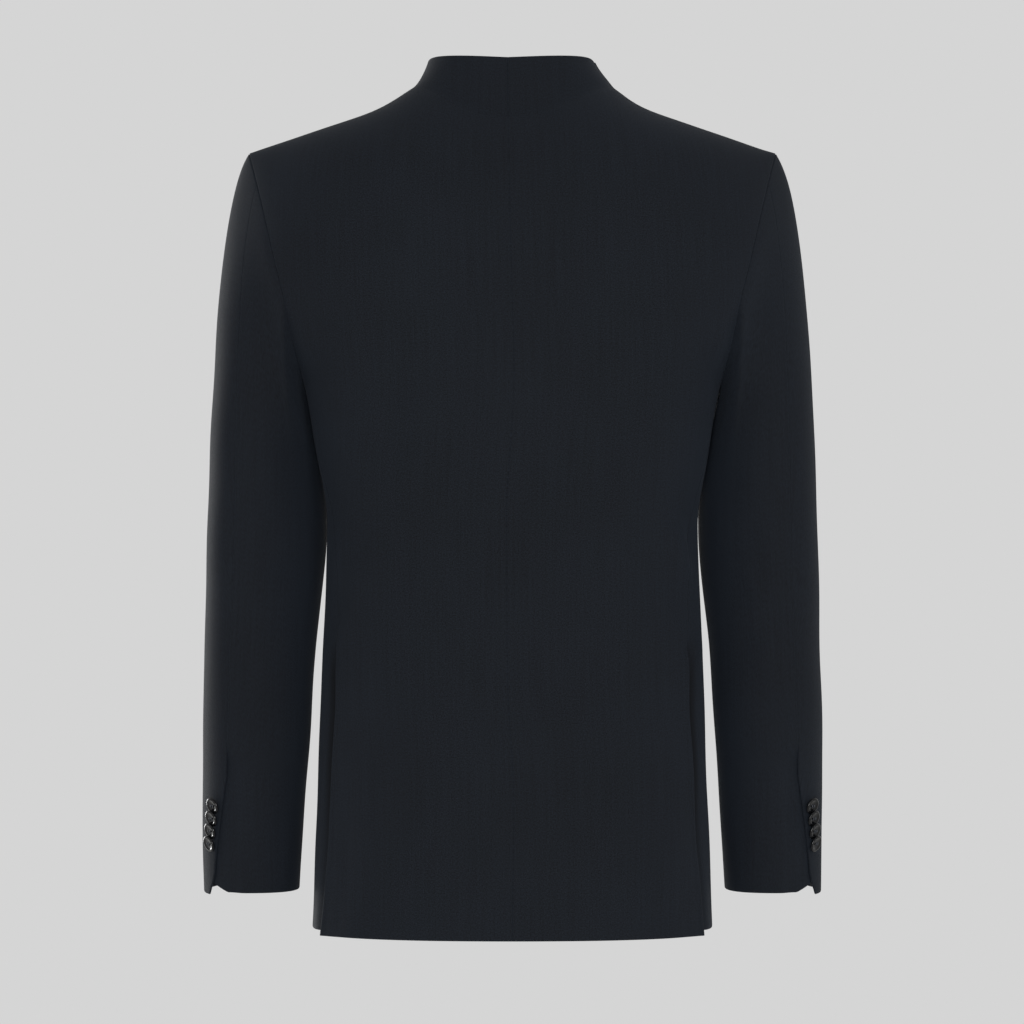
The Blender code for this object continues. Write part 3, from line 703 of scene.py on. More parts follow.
armhole = round_armhole(back_grid[:, -1], front_grid[:, -1])
armhole_out = round_armhole(back_out[:, -1], front_out[:, -1])
armhole_way = unit(round_armhole(back_grid[:, -1] - back_grid[:, -2], front_grid[:, -1] - front_grid[:, -2]))
tucked_edge = armhole - armhole_way * SEAM_TUCK_IN - armhole_out * SEAM_TUCK_DOWN
sleeve_columns = len(armhole) - 1
head_degrees = np.linspace(0, 360, sleeve_columns + 1)
head_leave = np.stack(
    [
        through(CAP_STARTS, "angle", "out", head_degrees),
        through(CAP_STARTS, "angle", "back", head_degrees),
        -through(CAP_STARTS, "angle", "down", head_degrees),
    ],
    axis=-1,
)
head_end = sleeve_ring(np.radians(head_degrees), CAP_END)
head_drop = (armhole[:, 2] - CAP_END)[:, None]
head_slope = (sleeve_ring(np.radians(head_degrees), CAP_END - PROBE) - head_end) / PROBE
head = np.stack(
    [
        hermite(armhole, head_leave, head_end, head_slope * head_drop * CAP_ARRIVE, t)
        for t in np.linspace(0, 1, CAP_ROWS + 1)
    ]
)
print("columns round the sleeve:", sleeve_columns)


# %% Sleeve pieces
def sleeve_piece(first, last, under):
    """The grid and normals of a sleeve piece between two seams, with the cuff vent at the elbow seam."""
    columns = np.arange(round(first / 360 * sleeve_columns), round(last / 360 * sleeve_columns) + 1)
    degrees = columns * 360 / sleeve_columns
    arm = np.linspace(CAP_END, CUFF_VENT_TOP, ARM_ROWS + 1)[1:]
    cuff = np.linspace(CUFF_VENT_TOP, CUFF, CUFF_ROWS + 1)[1:]
    heights = np.concatenate([arm, cuff])[:, None]
    in_vent = np.clip((CUFF_VENT_TOP - heights) / (CUFF_VENT_TOP - CUFF), 0, 1)
    if under:
        lap = (ELBOW_SEAM - VENT_LAP) * ramp(heights, *UNDER_LAP)
        turned = degrees - lap * np.clip(2 - degrees / ELBOW_SEAM, 0, 1)
        notch = np.clip((CUFF_NOTCH_START - turned) / VENT_LAP, 0, 1)
        up = heights + CUFF_NOTCH * notch * in_vent**CUFF_NOTCH_POWER
        inward = ramp(turned, CUFF_STEP_START, CUFF_STEP_END) * (SLEEVE_CLOTH + LAP_GAP)
        inward = inward * ramp(heights, *UNDER_STEP)
    else:
        reach = 360 + ELBOW_SEAM - FOREARM_SEAM
        tip = np.clip((in_vent - VENT_TIP_START) / (1 - VENT_TIP_START), 0, 1) ** VENT_TIP_POWER
        share = 1 - ((ELBOW_SEAM - VENT_EDGE_AT_CUFF) * in_vent + VENT_TIP * tip) / reach
        turned = FOREARM_SEAM + (degrees - FOREARM_SEAM) * share
        up = heights + VENT_TIP_RISE * tip * ramp(turned, 0, VENT_EDGE_AT_CUFF - VENT_TIP)
        inward = 0 * turned
    up = up + CUFF_SLOPE * ((1 - np.sin(np.radians(turned))) / 2) ** 2 * in_vent
    tube = sleeve_ring(np.radians(turned), up)
    grid = np.concatenate([head[:, columns % sleeve_columns], tube])
    step = np.concatenate([np.zeros((len(head), len(columns))), inward])
    out = normals(grid, -1)
    grid = grid - out * step[..., None]
    beside_seam = grid[:1] + (grid[1:2] - grid[:1]) * SEAM_ROW
    grid = np.concatenate([tucked_edge[None, columns % sleeve_columns], beside_seam, grid[1:]])
    return grid, np.concatenate([out[:1], out])


under_grid, under_out = sleeve_piece(ELBOW_SEAM, FOREARM_SEAM, True)
top_grid, top_out = sleeve_piece(FOREARM_SEAM, 360 + ELBOW_SEAM, False)
print("sleeve grids", under_grid.shape[:2], top_grid.shape[:2])

# %% [markdown]
# ## Folds listed one by one
# Pressed wool hangs almost smooth, so its few folds matter. Each row of a table is one fold: where it starts
# and ends, seen straight from the back or the front in millimetres from the neck point, how wide it is, and
# how far it sinks. A trough with a soft ridge on one side reads as cloth that was pushed together; a minus
# sign turns a trough into a ridge, or puts the ridge on the other side. A faint unevenness, the same for all
# pieces so that it runs on over the seams, keeps the rest from looking machined.

# %% Folds of the body
MM = 0.001
Fold = namedtuple("Fold", "across_1 height_1 across_2 height_2 width sink ridge")
BACK_FOLDS = (
    Fold(-150, -362, -157, -424, 5, 2.2, -0.9),
    Fold(-124, -366, -158, -430, 7, -2.4, 0.3),
    Fold(-112, -400, -156, -456, 10, 1.3, 0.5),
    Fold(-160, -464, -144, -496, 6, 2.2, 0.7),
    Fold(142, -430, 162, -492, 6, 3.4, 0.35),
    Fold(126, -380, 158, -446, 10, 1.5, 0.6),
    Fold(103, -226, 96, -350, 17, 2.2, 0.6),
    Fold(-76, -246, -114, -372, 19, 2.3, 0.6),
    Fold(-36, -320, -56, -460, 18, 1.2, 0.5),
    Fold(64, -290, 46, -440, 19, 1.3, 0.5),
    Fold(-136, -580, -141, -712, 13, -2.2, 0.5),
    Fold(117, -550, 126, -714, 17, -2.1, 0.5),
    Fold(92, -600, 104, -724, 14, 1.3, 0.5),
    Fold(-108, -610, -118, -724, 15, 1.4, 0.5),
    Fold(146, -190, 174, -266, 12, 1.8, 0.6),
    Fold(-144, -186, -174, -264, 12, 1.9, 0.6),
    Fold(64, -30, 26, -98, 18, 1.2, 0.5),
    Fold(-60, -30, -24, -94, 18, 1.0, 0.5),
    Fold(20, -470, 8, -620, 22, 0.9, 0.5),
    Fold(-24, -520, -40, -660, 22, 0.8, 0.5),
)
FRONT_FOLDS = (
    Fold(20, -330, 120, -376, 12, 1.5, 0.7),
    Fold(-24, -338, -118, -380, 12, 1.4, 0.7),
    Fold(30, -410, 132, -420, 10, 1.1, 0.6),
    Fold(-34, -402, -128, -424, 11, 1.2, 0.6),
    Fold(150, -205, 174, -270, 12, 1.4, 0.6),
    Fold(-152, -208, -174, -268, 12, 1.3, 0.6),
    Fold(118, -560, 126, -700, 18, -1.4, 0.5),
    Fold(-120, -570, -124, -700, 18, -1.3, 0.5),
    Fold(72, -600, 76, -712, 16, 0.9, 0.5),
    Fold(-76, -590, -80, -712, 16, 1.0, 0.5),
    Fold(108, -90, 150, -210, 20, 0.9, 0.5),
    Fold(-104, -92, -148, -206, 20, 0.8, 0.5),
)
print("folds of the body:", len(BACK_FOLDS) + len(FRONT_FOLDS))

# %% Folds of the sleeves
SLEEVE_BACK_FOLDS = (
    Fold(-178, -230, -214, -222, 5, 1.0, 0.6),
    Fold(-180, -252, -206, -262, 5, 0.9, 0.6),
    Fold(-176, -276, -216, -272, 6, 0.8, 0.5),
    Fold(-182, -186, -200, -178, 4, 0.8, 0.5),
    Fold(-174, -330, -204, -352, 8, 0.9, 0.5),
    Fold(-172, -420, -210, -448, 9, 1.2, 0.6),
    Fold(-176, -470, -222, -486, 10, 1.1, 0.6),
    Fold(-184, -560, -226, -580, 11, 0.7, 0.5),
    Fold(178, -236, 206, -250, 5, 0.9, 0.5),
    Fold(174, -300, 202, -322, 8, 0.9, 0.5),
    Fold(216, -288, 246, -292, 6, 0.5, 0.4),
    Fold(172, -408, 214, -436, 9, 1.2, 0.6),
    Fold(178, -462, 226, -482, 10, 1.1, 0.6),
    Fold(186, -552, 232, -576, 11, 0.7, 0.5),
    Fold(196, -630, 204, -690, 12, 0.6, 0.4),
)
SLEEVE_FRONT_FOLDS = (
    Fold(182, -300, 236, -330, 9, 1.6, 0.7),
    Fold(-182, -306, -234, -332, 9, 1.5, 0.7),
    Fold(176, -380, 240, -398, 9, 1.9, 0.8),
    Fold(-176, -384, -238, -404, 9, 1.8, 0.8),
    Fold(178, -420, 244, -430, 8, 1.6, 0.8),
    Fold(-178, -424, -246, -440, 8, 1.7, 0.8),
    Fold(184, -460, 240, -462, 9, 1.2, 0.7),
    Fold(-184, -466, -238, -470, 9, 1.2, 0.7),
    Fold(192, -600, 248, -616, 12, 0.8, 0.5),
    Fold(-192, -606, -250, -620, 12, 0.8, 0.5),
)
print("folds of the sleeves:", len(SLEEVE_BACK_FOLDS) + len(SLEEVE_FRONT_FOLDS))

# %% Press the folds in
RIDGE_PLACE = 1.7
RIDGE_BREADTH = 1.4
FOLD_FADE = 1.5
UNEVEN_WAVES = 14
UNEVEN_LENGTH = 0.085
UNEVEN_SPREAD = (0.6, 1.8)
UNEVEN_HEIGHT = 0.00035
UNEVEN_SEED = 7


def folds(points, table):
    """How far each point is moved out by the folds of a table, from its place across and its height."""
    total = np.zeros(points.shape[:-1])
    for fold in table:
        start = np.array([fold.across_1, fold.height_1]) * MM
        way = np.array([fold.across_2, fold.height_2]) * MM - start
        length = np.linalg.norm(way)
        way = way / length
        from_start = points[..., (0, 2)] - start
        along = from_start @ way / length
        beside = (from_start @ np.array([way[1], -way[0]])) / (fold.width * MM)
        fade = np.sin(math.pi * np.clip(along, 0, 1)) ** FOLD_FADE
        trough = np.exp(-(beside**2))
        ridge_side = math.copysign(1, fold.ridge) * beside
        ridge = abs(fold.ridge) * np.exp(-((ridge_side - RIDGE_PLACE) ** 2) / RIDGE_BREADTH)
        total += (ridge - trough) * fade * fold.sink * MM
    return total


def unevenness(points):
    """A slow waviness in space, from a few waves with fixed directions."""
    chance = np.random.default_rng(UNEVEN_SEED)
    total = np.zeros(points.shape[:-1])
    for _ in range(UNEVEN_WAVES):
        way = unit(chance.normal(size=3))
        length = UNEVEN_LENGTH * chance.uniform(*UNEVEN_SPREAD)
        total += np.sin(points @ way * 2 * math.pi / length + chance.uniform(0, 2 * math.pi))
    return total * UNEVEN_HEIGHT / math.sqrt(UNEVEN_WAVES)


deepest = folds(back_grid, BACK_FOLDS).min()
print("deepest fold of the left back in mm:", round(-deepest / MM, 1))

# %% [markdown]
# ## From a grid to a sewn piece
# Real cloth has thickness and soft edges: at a seam it rolls down into the stitching, and at a hem it is
# folded over. So each grid gets a few extra rows close to its border, which sink along a small curve, and
# the inner face mirrors them. A free edge sinks fully and a pressed seam only a little, so that a seam shows
# as a hairline. The UV map is measured along the grid, in metres, so that the weave keeps its size.

# %% Rolled edges and the grain map
EdgeRoll = namedtuple("EdgeRoll", "inset sink")
EDGE_ROLLS = (
    EdgeRoll(0.00000, 0.44),
    EdgeRoll(0.00025, 0.24),
    EdgeRoll(0.00080, 0.09),
    EdgeRoll(0.00200, 0.00),
)
MOST_INSET = 0.8
Edges = namedtuple("Edges", "first_row last_row first_column last_column")


def with_edge_rolls(fields, edges):
    """The grid with extra rows close to its border, and how far each point sinks in thicknesses."""
    amounts = iter(edges)
    sinks = np.zeros((*fields.shape[:2], 1))
    fields = np.concatenate([fields, sinks], axis=-1)
    for axis in (0, 1):
        for flip in (False, True):
            turned = np.moveaxis(fields, axis, 0)
            turned = turned[::-1] if flip else turned
            amount = next(amounts)
            gap = np.linalg.norm(turned[1, :, :3] - turned[0, :, :3], axis=-1, keepdims=True)
            loops = []
            for roll in EDGE_ROLLS:
                share = np.minimum(roll.inset / gap, MOST_INSET * roll.inset / EDGE_ROLLS[-1].inset)
                loop = turned[0] + (turned[1] - turned[0]) * share
                loop[:, -1] = np.maximum(loop[:, -1], roll.sink * amount)
                loops.append(loop)
            turned = np.concatenate([np.stack(loops), turned[1:]])
            turned = turned[::-1] if flip else turned
            fields = np.moveaxis(turned, 0, axis)
    return fields[..., :-1], fields[..., -1:]


def grain_uv(grid):
    """Distances across and up a grid in metres, from its first column and its first row."""
    across = np.linalg.norm(np.diff(grid, axis=1), axis=-1)
    way = np.gradient(grid, axis=1)
    way = unit(way[1:] + way[:-1])
    rise = np.diff(grid, axis=0)
    up = np.linalg.norm(rise - way * np.sum(rise * way, axis=-1, keepdims=True), axis=-1)
    u = np.concatenate([np.zeros((len(grid), 1)), np.cumsum(across, axis=1)], axis=1)
    v = np.concatenate([np.zeros((1, grid.shape[1])), np.cumsum(up, axis=0)], axis=0)
    return np.stack([u, v], axis=-1)


print("back in metres along the cloth:", grain_uv(back_grid).max(axis=(0, 1)).round(3).tolist())


# %% Making a piece of cloth
def cloth_piece(name, grid, out, painted_shade_share, thickness, edges, mirrored):
    """A closed piece of cloth on a grid, with smooth faces, its grain map and its painted shadow."""
    fields = np.concatenate([grid, out, grain_uv(grid), painted_shade_share[..., None]], axis=-1)
    fields, sink = with_edge_rolls(fields, edges)
    points, outwards = fields[..., :3], unit(fields[..., 3:6])
    uv, painted_shade_share = fields[..., 6:8], fields[..., 8]
    outer = points - outwards * sink * thickness
    inner = points - outwards * (1 - sink) * thickness
    rows, columns = points.shape[:2]
    count = rows * columns
    index = np.arange(count).reshape(rows, columns)
    quads = np.stack([index[:-1, :-1], index[:-1, 1:], index[1:, 1:], index[1:, :-1]], axis=-1)
    quads = quads.reshape(-1, 4)
    border = np.concatenate([index[0, :-1], index[:-1, -1], index[-1, :0:-1], index[:0:-1, 0]])
    ahead = np.roll(border, -1)
    rim = np.stack([ahead, border, border + count, ahead + count], axis=-1)
    faces = np.concatenate([quads, quads[:, ::-1] + count, rim])
    if mirrored:
        faces = faces[:, ::-1]
    data = bpy.data.meshes.new(name)
    data.from_pydata(np.concatenate([outer, inner]).reshape(-1, 3).tolist(), [], faces.tolist())
    layer = data.uv_layers.new(name="grain")
    both_faces = np.tile(uv.reshape(-1, 2), (2, 1))
    layer.data.foreach_set("uv", both_faces[faces.ravel()].astype(np.float32).ravel())
    # Painted shadow: how far the dye is darkened at each point, on both faces
    shade = data.attributes.new("tucked", "FLOAT", "POINT")
    shade.data.foreach_set("value", np.tile(painted_shade_share.ravel(), 2))
    data.shade_smooth()
    data.materials.append(wool)
    piece = in_scene(name, data)
    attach(piece, "root")
    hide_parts(name)
    return piece


# %% [markdown]
# ## Sewing up the ten pieces
# The left and the right piece share a grid, mirrored, but not their folds, which are read where the piece
# really lies. Folds come from the back's table and from the front's, each fading out where the cloth turns
# away from that side, so a fold runs on over a side seam. Along the armhole the stitching holds the cloth,
# so folds end before it. The centre back seam wanders a little, as sewn seams do, and the cloth is pulled
# out at the right side of the neck.

# %% Seams that hold, wander and pull
FOLD_TURN = (0.02, 0.34)
FOLD_TABLES = {
    "back": (BACK_FOLDS, FRONT_FOLDS),
    "front": (BACK_FOLDS, FRONT_FOLDS),
    "sleeve": (SLEEVE_BACK_FOLDS, SLEEVE_FRONT_FOLDS),
}
HELD_ROWS = 10
SEAM_DRIFT_REACH = 0.070
SeamDrift = namedtuple("SeamDrift", "height shift")
SEAM_DRIFT = (
    SeamDrift(-0.720, 0.0000),
    SeamDrift(-0.610, -0.0008),
    SeamDrift(-0.500, 0.0046),
    SeamDrift(-0.370, 0.0050),
    SeamDrift(-0.250, -0.0012),
    SeamDrift(-0.170, 0.0008),
    SeamDrift(-0.100, 0.0026),
    SeamDrift(0.000, 0.0042),
    SeamDrift(0.040, 0.0044),
)
NECK_PULL = 0.0042
NECK_PULL_LEVEL = 0.004
NECK_PULL_REACH = 0.013
NECK_PULL_SIDE = (0.030, 0.072)


def free_to_fold(grid, kind):
    """1 where a piece is free to fold and 0 along its armhole seam, which is stitched to a shape."""
    row, column = np.indices(grid.shape[:2])
    if kind == "sleeve":
        return ramp(row, 0, HELD_ROWS)
    if kind == "collar":
        return np.ones(grid.shape[:2])
    beside_armhole = ramp(row, underarm_row - HELD_ROWS, underarm_row)
    return 1 - beside_armhole * (1 - ramp(grid.shape[1] - 1 - column, 0, HELD_ROWS))


def folded(grid, out, kind):
    """A piece's grid with its folds, the wander of the centre back seam and the pull at the neck."""
    move = unevenness(grid)
    free = free_to_fold(grid, kind)
    grid = grid.copy()
    if kind in ("back", "collar"):
        near_seam = np.exp(-((grid[..., 0] / SEAM_DRIFT_REACH) ** 2)) * (grid[..., 1] > 0)
        grid[..., 0] += through(SEAM_DRIFT, "height", "shift", grid[..., 2]) * near_seam
    near_level = np.exp(-(((grid[..., 2] - NECK_PULL_LEVEL) / NECK_PULL_REACH) ** 2))
    grid[..., 0] -= NECK_PULL * near_level * ramp(-grid[..., 0], *NECK_PULL_SIDE)
    from_back, from_front = FOLD_TABLES.get(kind, ((), ()))
    move = move + folds(grid, from_back) * ramp(out[..., 1], *FOLD_TURN)
    move = move + folds(grid, from_front) * ramp(-out[..., 1], *FOLD_TURN)
    return grid + out * (move * free)[..., None]


print("widest wander of the centre back seam in mm:", max(row.shift for row in SEAM_DRIFT) / MM)

# %% Sew up the ten pieces
COLLAR_CLOTH = 0.0024
BACK_EDGES = Edges(1, 0.15, 0.5, 0.6)
FRONT_EDGES = Edges(1, 0.15, 1, 0.6)
COLLAR_EDGES = Edges(0.05, 1, 0.5, 1)
SLEEVE_EDGES = Edges(0.5, 1, 0.3, 0.3)

pieces = {}
for side, mirrored in (("left", False), ("right", True)):
    flip = np.array([-1 if mirrored else 1, 1, 1])
    shapes = (
        ("back", back_grid, back_out, BODY_CLOTH, BACK_EDGES, "back"),
        ("front", under_front_grid if mirrored else front_grid, front_out, BODY_CLOTH, FRONT_EDGES, "front"),
        ("collar", collar_grid, collar_out, COLLAR_CLOTH, COLLAR_EDGES, "collar"),
        ("under_sleeve", under_grid, under_out, SLEEVE_CLOTH, SLEEVE_EDGES, "sleeve"),
        ("top_sleeve", top_grid, top_out, SLEEVE_CLOTH, SLEEVE_EDGES, "sleeve"),
    )
    for kind_name, grid, out, thickness, edges, kind in shapes:
        name = f"{kind_name}_{side}"
        grid = folded(grid * flip, out * flip, kind)
        # Only the fronts carry a painted shadow, beside the side vents
        painted_shade_share = front_painted_shade if kind == "front" else np.zeros(grid.shape[:2])
        pieces[name] = cloth_piece(name, grid, out * flip, painted_shade_share, thickness, edges, mirrored)
print("cloth pieces:", len(pieces), "faces:", sum(len(p.data.polygons) for p in pieces.values()))

# %% [markdown]
# ## Horn and thread
# The buttons look like dark polished horn: nearly black, with a clear shine on the rim and faint streaks in
# it. The thread that holds them is a twisted polyester, a shade lighter than the cloth, with a duller shine
# broken by painted bands of light and shade along its twist.

# %% Button and thread materials
STREAK = 0.004
TWIST = 0.0009

# Nearly black, with a clear shine on the rim and faint streaks
horn, tree, surface = new_material("polished_dark_horn", {"Roughness": 0.14, "Specular IOR Level": 0.25})
place_map = add_node(tree, "ShaderNodeTexCoord").outputs["Object"]
streak = add_node(tree, "ShaderNodeTexNoise", {"Vector": place_map, "Scale": 1 / STREAK, "Detail": 3.0})
horn_dye = two_dyes(tree, streak.outputs["Fac"], "040506", "0E0E10")
tree.links.new(horn_dye, surface.inputs["Base Color"])

# Lighter than the cloth, with painted light and shade in diagonal bands along its twist
thread, tree, surface = new_material("polyester_thread", {"Roughness": 0.55})
place_map = add_node(tree, "ShaderNodeTexCoord").outputs["Object"]
twist_scale = {"Vector": place_map, "Scale": 1 / (TWIST * WAVE_TURN)}
twist_shade_bands = add_node(tree, "ShaderNodeTexWave", twist_scale, bands_direction="DIAGONAL")
thread_dye_and_twist_shade = two_dyes(tree, twist_shade_bands.outputs["Fac"], "15181D", "2A2F37")
tree.links.new(thread_dye_and_twist_shade, surface.inputs["Base Color"])
print("streaks in the horn in mm:", STREAK / MM, "twist of the thread in mm:", TWIST / MM)

# %% [markdown]
# ## One button, one set of threads
# A button is turned on a lathe, so its outline is a table of rings and the Screw modifier turns it. Four
# drilled holes are cut out with a Boolean. The threads are small tubes: two bars over the dish and a stem
# down to the cloth.

# %% Outline of a button
ButtonRing = namedtuple("ButtonRing", "across up")
BUTTON_RINGS = (
    ButtonRing(0.00, 0.42),
    ButtonRing(0.34, 0.42),
    ButtonRing(0.52, 0.46),
    ButtonRing(0.62, 0.60),
    ButtonRing(0.69, 0.86),
    ButtonRing(0.76, 0.98),
    ButtonRing(0.83, 1.00),
    ButtonRing(0.90, 0.92),
    ButtonRing(0.96, 0.66),
    ButtonRing(0.995, 0.28),
    ButtonRing(1.00, 0.05),
    ButtonRing(0.96, -0.40),
    ButtonRing(0.88, -0.82),
    ButtonRing(0.80, -1.00),
    ButtonRing(0.00, -1.00),
)
print("rings in a button's outline:", len(BUTTON_RINGS))

# %% Turn and drill a button
BUTTON_TURNS = 56
MERGE_GAP = 1e-6
SHARP_ANGLE = math.radians(50)
HOLE_OUT = 0.19
HOLE_RADIUS = 0.105
HOLE_SIDES = 16


def plain_copy(name, source):
    """A plain mesh object with a source's modifiers carried out, after which the source is removed."""
    graph = bpy.context.evaluated_depsgraph_get()
    data = bpy.data.meshes.new_from_object(source.evaluated_get(graph))
    data.name = name
    bpy.data.objects.remove(source, do_unlink=True)
    return in_scene(name, data)


def turned_button(name, radius, thickness):
    """A four hole button around the Z axis."""
    data = bpy.data.meshes.new(name)
    rings = [(ring.across * radius, 0, ring.up * thickness / 2) for ring in BUTTON_RINGS]
    data.from_pydata(rings, [(i, i + 1) for i in range(len(rings) - 1)], [])
    blank = in_scene(name, data)
    turn = blank.modifiers.new("Turn", "SCREW")
    turn.steps = turn.render_steps = BUTTON_TURNS
    turn.use_merge_vertices = True
    turn.merge_threshold = MERGE_GAP
    turn.use_normal_calculate = True
    drills = bmesh.new()
    for x in (-HOLE_OUT, HOLE_OUT):
        for y in (-HOLE_OUT, HOLE_OUT):
            made = bmesh.ops.create_cone(
                drills,
                cap_ends=True,
                segments=HOLE_SIDES,
                radius1=HOLE_RADIUS * radius,
                radius2=HOLE_RADIUS * radius,
                depth=2 * thickness,
            )
            bmesh.ops.translate(drills, verts=made["verts"], vec=(x * radius, y * radius, 0))
    drill_data = bpy.data.meshes.new("drills")
    drills.to_mesh(drill_data)
    drills.free()
    drill = in_scene("drills", drill_data)
    cut = blank.modifiers.new("Drill", "BOOLEAN")
    cut.object = drill
    cut.solver = "EXACT"
    made = plain_copy(name, blank)
    bpy.data.objects.remove(drill, do_unlink=True)
    made.data.shade_smooth()
    made.data.set_sharp_from_angle(angle=SHARP_ANGLE)
    return made


# %% Wind the threads
STRAND_RADIUS = 0.034
STRAND_SPREAD = 0.055
STRAND_SIDES = 8
STRAND_ARCH = 0.09
STRAND_BEND = 0.96
STEM_RADIUS = 0.16
STEM_IN_BUTTON = 0.0002
STEM_IN_CLOTH = 0.0004


def tube(path, across, radius, sides):
    """Points and faces of a thread that follows a path, where across is at right angles to all of it."""
    path = np.array(path, dtype=float)
    across = np.array(across, dtype=float)
    up = np.cross(unit(np.gradient(path, axis=0)), across)
    turn = np.arange(sides) * 2 * math.pi / sides
    ring = np.cos(turn)[:, None] * across + np.sin(turn)[:, None] * up[:, None]
    points = (path[:, None] + radius * ring).reshape(-1, 3)
    faces = [tuple(range(sides))[::-1], tuple(range(len(points) - sides, len(points)))]
    for i in range(len(path) - 1):
        for j in range(sides):
            k = (j + 1) % sides
            faces.append((i * sides + j, i * sides + k, (i + 1) * sides + k, (i + 1) * sides + j))
    return points.tolist(), faces


def thread_object(name, tubes):
    """One object from the points and faces of several threads."""
    points, faces = [], []
    for some_points, some_faces in tubes:
        faces += [tuple(i + len(points) for i in face) for face in some_faces]
        points += some_points
    data = bpy.data.meshes.new(name)
    data.from_pydata(points, [], faces)
    data.shade_smooth()
    return in_scene(name, data)


def button_threads(name, radius, thickness, standoff):
    """Two bars of three strands over the dish, and a stem from the button down to the cloth."""
    dish = BUTTON_RINGS[0].up * thickness / 2
    out = HOLE_OUT * radius
    tubes = []
    for hole in (-out, out):
        for strand in (-1, 0, 1):
            x = hole + strand * STRAND_SPREAD * radius
            ups = (dish - thickness / 2, dish, dish + STRAND_ARCH * radius, dish, dish - thickness / 2)
            ways = (-out, -STRAND_BEND * out, 0, STRAND_BEND * out, out)
            path = [(x, y, z) for y, z in zip(ways, ups)]
            tubes.append(tube(path, (1, 0, 0), STRAND_RADIUS * radius, STRAND_SIDES))
    stem = [(0, 0, STEM_IN_BUTTON - thickness / 2), (0, 0, -standoff - STEM_IN_CLOTH)]
    tubes.append(tube(stem, (1, 0, 0), STEM_RADIUS * radius, STRAND_SIDES))
    return thread_object(name, tubes)


print("a strand's width in button radii:", 2 * STRAND_RADIUS)

# %% [markdown]
# ## Sewing on copies
# All buttons are the same, so Geometry Nodes put a copy on each of a few marked points. Each point carries
# two directions: `out` from the cloth, and `side` along the row of holes. The copies are made real and given
# their material.


# %% Parts that both node groups share
def new_group(name, sockets):
    """An empty Geometry Nodes group with named inputs, and its input sockets."""
    group = bpy.data.node_groups.new(name, "GeometryNodeTree")
    for label, kind in sockets.items():
        group.interface.new_socket(label, in_out="INPUT", socket_type=f"NodeSocket{kind}")
    group.interface.new_socket("Sewn", in_out="OUTPUT", socket_type="NodeSocketGeometry")
    return group, add_node(group, "NodeGroupInput").outputs


def vector_attribute(group, name):
    """A direction that is stored on the points."""
    stored = add_node(group, "GeometryNodeInputNamedAttribute", {"Name": name}, data_type="FLOAT_VECTOR")
    return stored.outputs["Attribute"]


def turned_along(group, way):
    """The rotation that points a copy's Z out of the cloth and its X along a way."""
    out = {"Vector": vector_attribute(group, "out")}
    upright = add_node(group, "FunctionNodeAlignRotationToVector", out, axis="Z")
    along = {"Rotation": upright.outputs[0], "Vector": way}
    turned = add_node(group, "FunctionNodeAlignRotationToVector", along, axis="X", pivot_axis="Z")
    return turned.outputs[0]


def real_copies(group, points, source, rotation, material):
    """Copies of an object on points, made real and given their material."""
    copy = add_node(group, "GeometryNodeObjectInfo", {"Object": source}).outputs["Geometry"]
    given = {"Points": points, "Instance": copy, "Rotation": rotation}
    copies = add_node(group, "GeometryNodeInstanceOnPoints", given)
    real = add_node(group, "GeometryNodeRealizeInstances", {"Geometry": copies.outputs[0]})
    finish = {"Geometry": real.outputs[0], "Material": material}
    return add_node(group, "GeometryNodeSetMaterial", finish).outputs[0]


def grown(name, points, edges, vectors, group, values):
    """Runs a Geometry Nodes group on marked points or lines and returns the plain mesh object it makes."""
    data = bpy.data.meshes.new(name)
    data.from_pydata([tuple(p) for p in points], edges, [])
    for label, rows in vectors.items():
        data.attributes.new(label, "FLOAT_VECTOR", "POINT").data.foreach_set("vector", np.ravel(rows))
    source = in_scene(name, data)
    modifier = source.modifiers.new("Sewing", "NODES")
    modifier.node_group = group
    for socket in group.interface.items_tree:
        if socket.in_out == "INPUT" and socket.name in values:
            modifier[socket.identifier] = values[socket.name]
    return plain_copy(name, source)


# %% Geometry Nodes group that sews buttons on
button_group, given = new_group(
    "sew_on_buttons",
    {
        "Places": "Geometry",
        "Button": "Object",
        "Threads": "Object",
        "Button Material": "Material",
        "Thread Material": "Material",
    },
)
turned = turned_along(button_group, vector_attribute(button_group, "side"))
sewn = add_node(button_group, "GeometryNodeJoinGeometry")
for source, material in (("Button", "Button Material"), ("Threads", "Thread Material")):
    copies = real_copies(button_group, given["Places"], given[source], turned, given[material])
    button_group.links.new(copies, sewn.inputs[0])
add_node(button_group, "NodeGroupOutput", {"Sewn": sewn.outputs[0]})
print("nodes that sew a button on:", len(button_group.nodes))

# %% [markdown]
# ## Cuff buttons and front buttons
# Four buttons overlap up each cuff vent, tilted so that each lies over the lower rim of the one above. Five
# larger ones close the front, sewn to the right front and passed through the left one, where they rest on
# the cloth.

# %% Patterns of the two buttons
CUFF_BUTTON_RADIUS = 0.0074
CUFF_BUTTON_THICKNESS = 0.0024
CUFF_BUTTON_TILT = math.radians(14.5)
CUFF_BUTTON_STANDOFF = 0.0028
CUFF_BUTTON_FIRST = -0.621
CUFF_BUTTON_PITCH = 0.0111
CUFF_BUTTON_ANGLES = (44, 38)
CUFF_BUTTON_COUNT = 4
FRONT_BUTTON_RADIUS = 0.010
FRONT_BUTTON_THICKNESS = 0.0034
FRONT_BUTTON_STANDOFF = 0.0020
FRONT_BUTTON_FIRST = -0.118
FRONT_BUTTON_PITCH = 0.091
FRONT_BUTTON_COUNT = 5

cuff_sizes = (CUFF_BUTTON_RADIUS, CUFF_BUTTON_THICKNESS)
cuff_button = turned_button("cuff_button", *cuff_sizes)
cuff_threads = button_threads("cuff_threads", *cuff_sizes, CUFF_BUTTON_STANDOFF)
front_sizes = (FRONT_BUTTON_RADIUS, FRONT_BUTTON_THICKNESS)
front_button = turned_button("front_button", *front_sizes)
front_threads = button_threads("front_threads", *front_sizes, FRONT_BUTTON_STANDOFF)


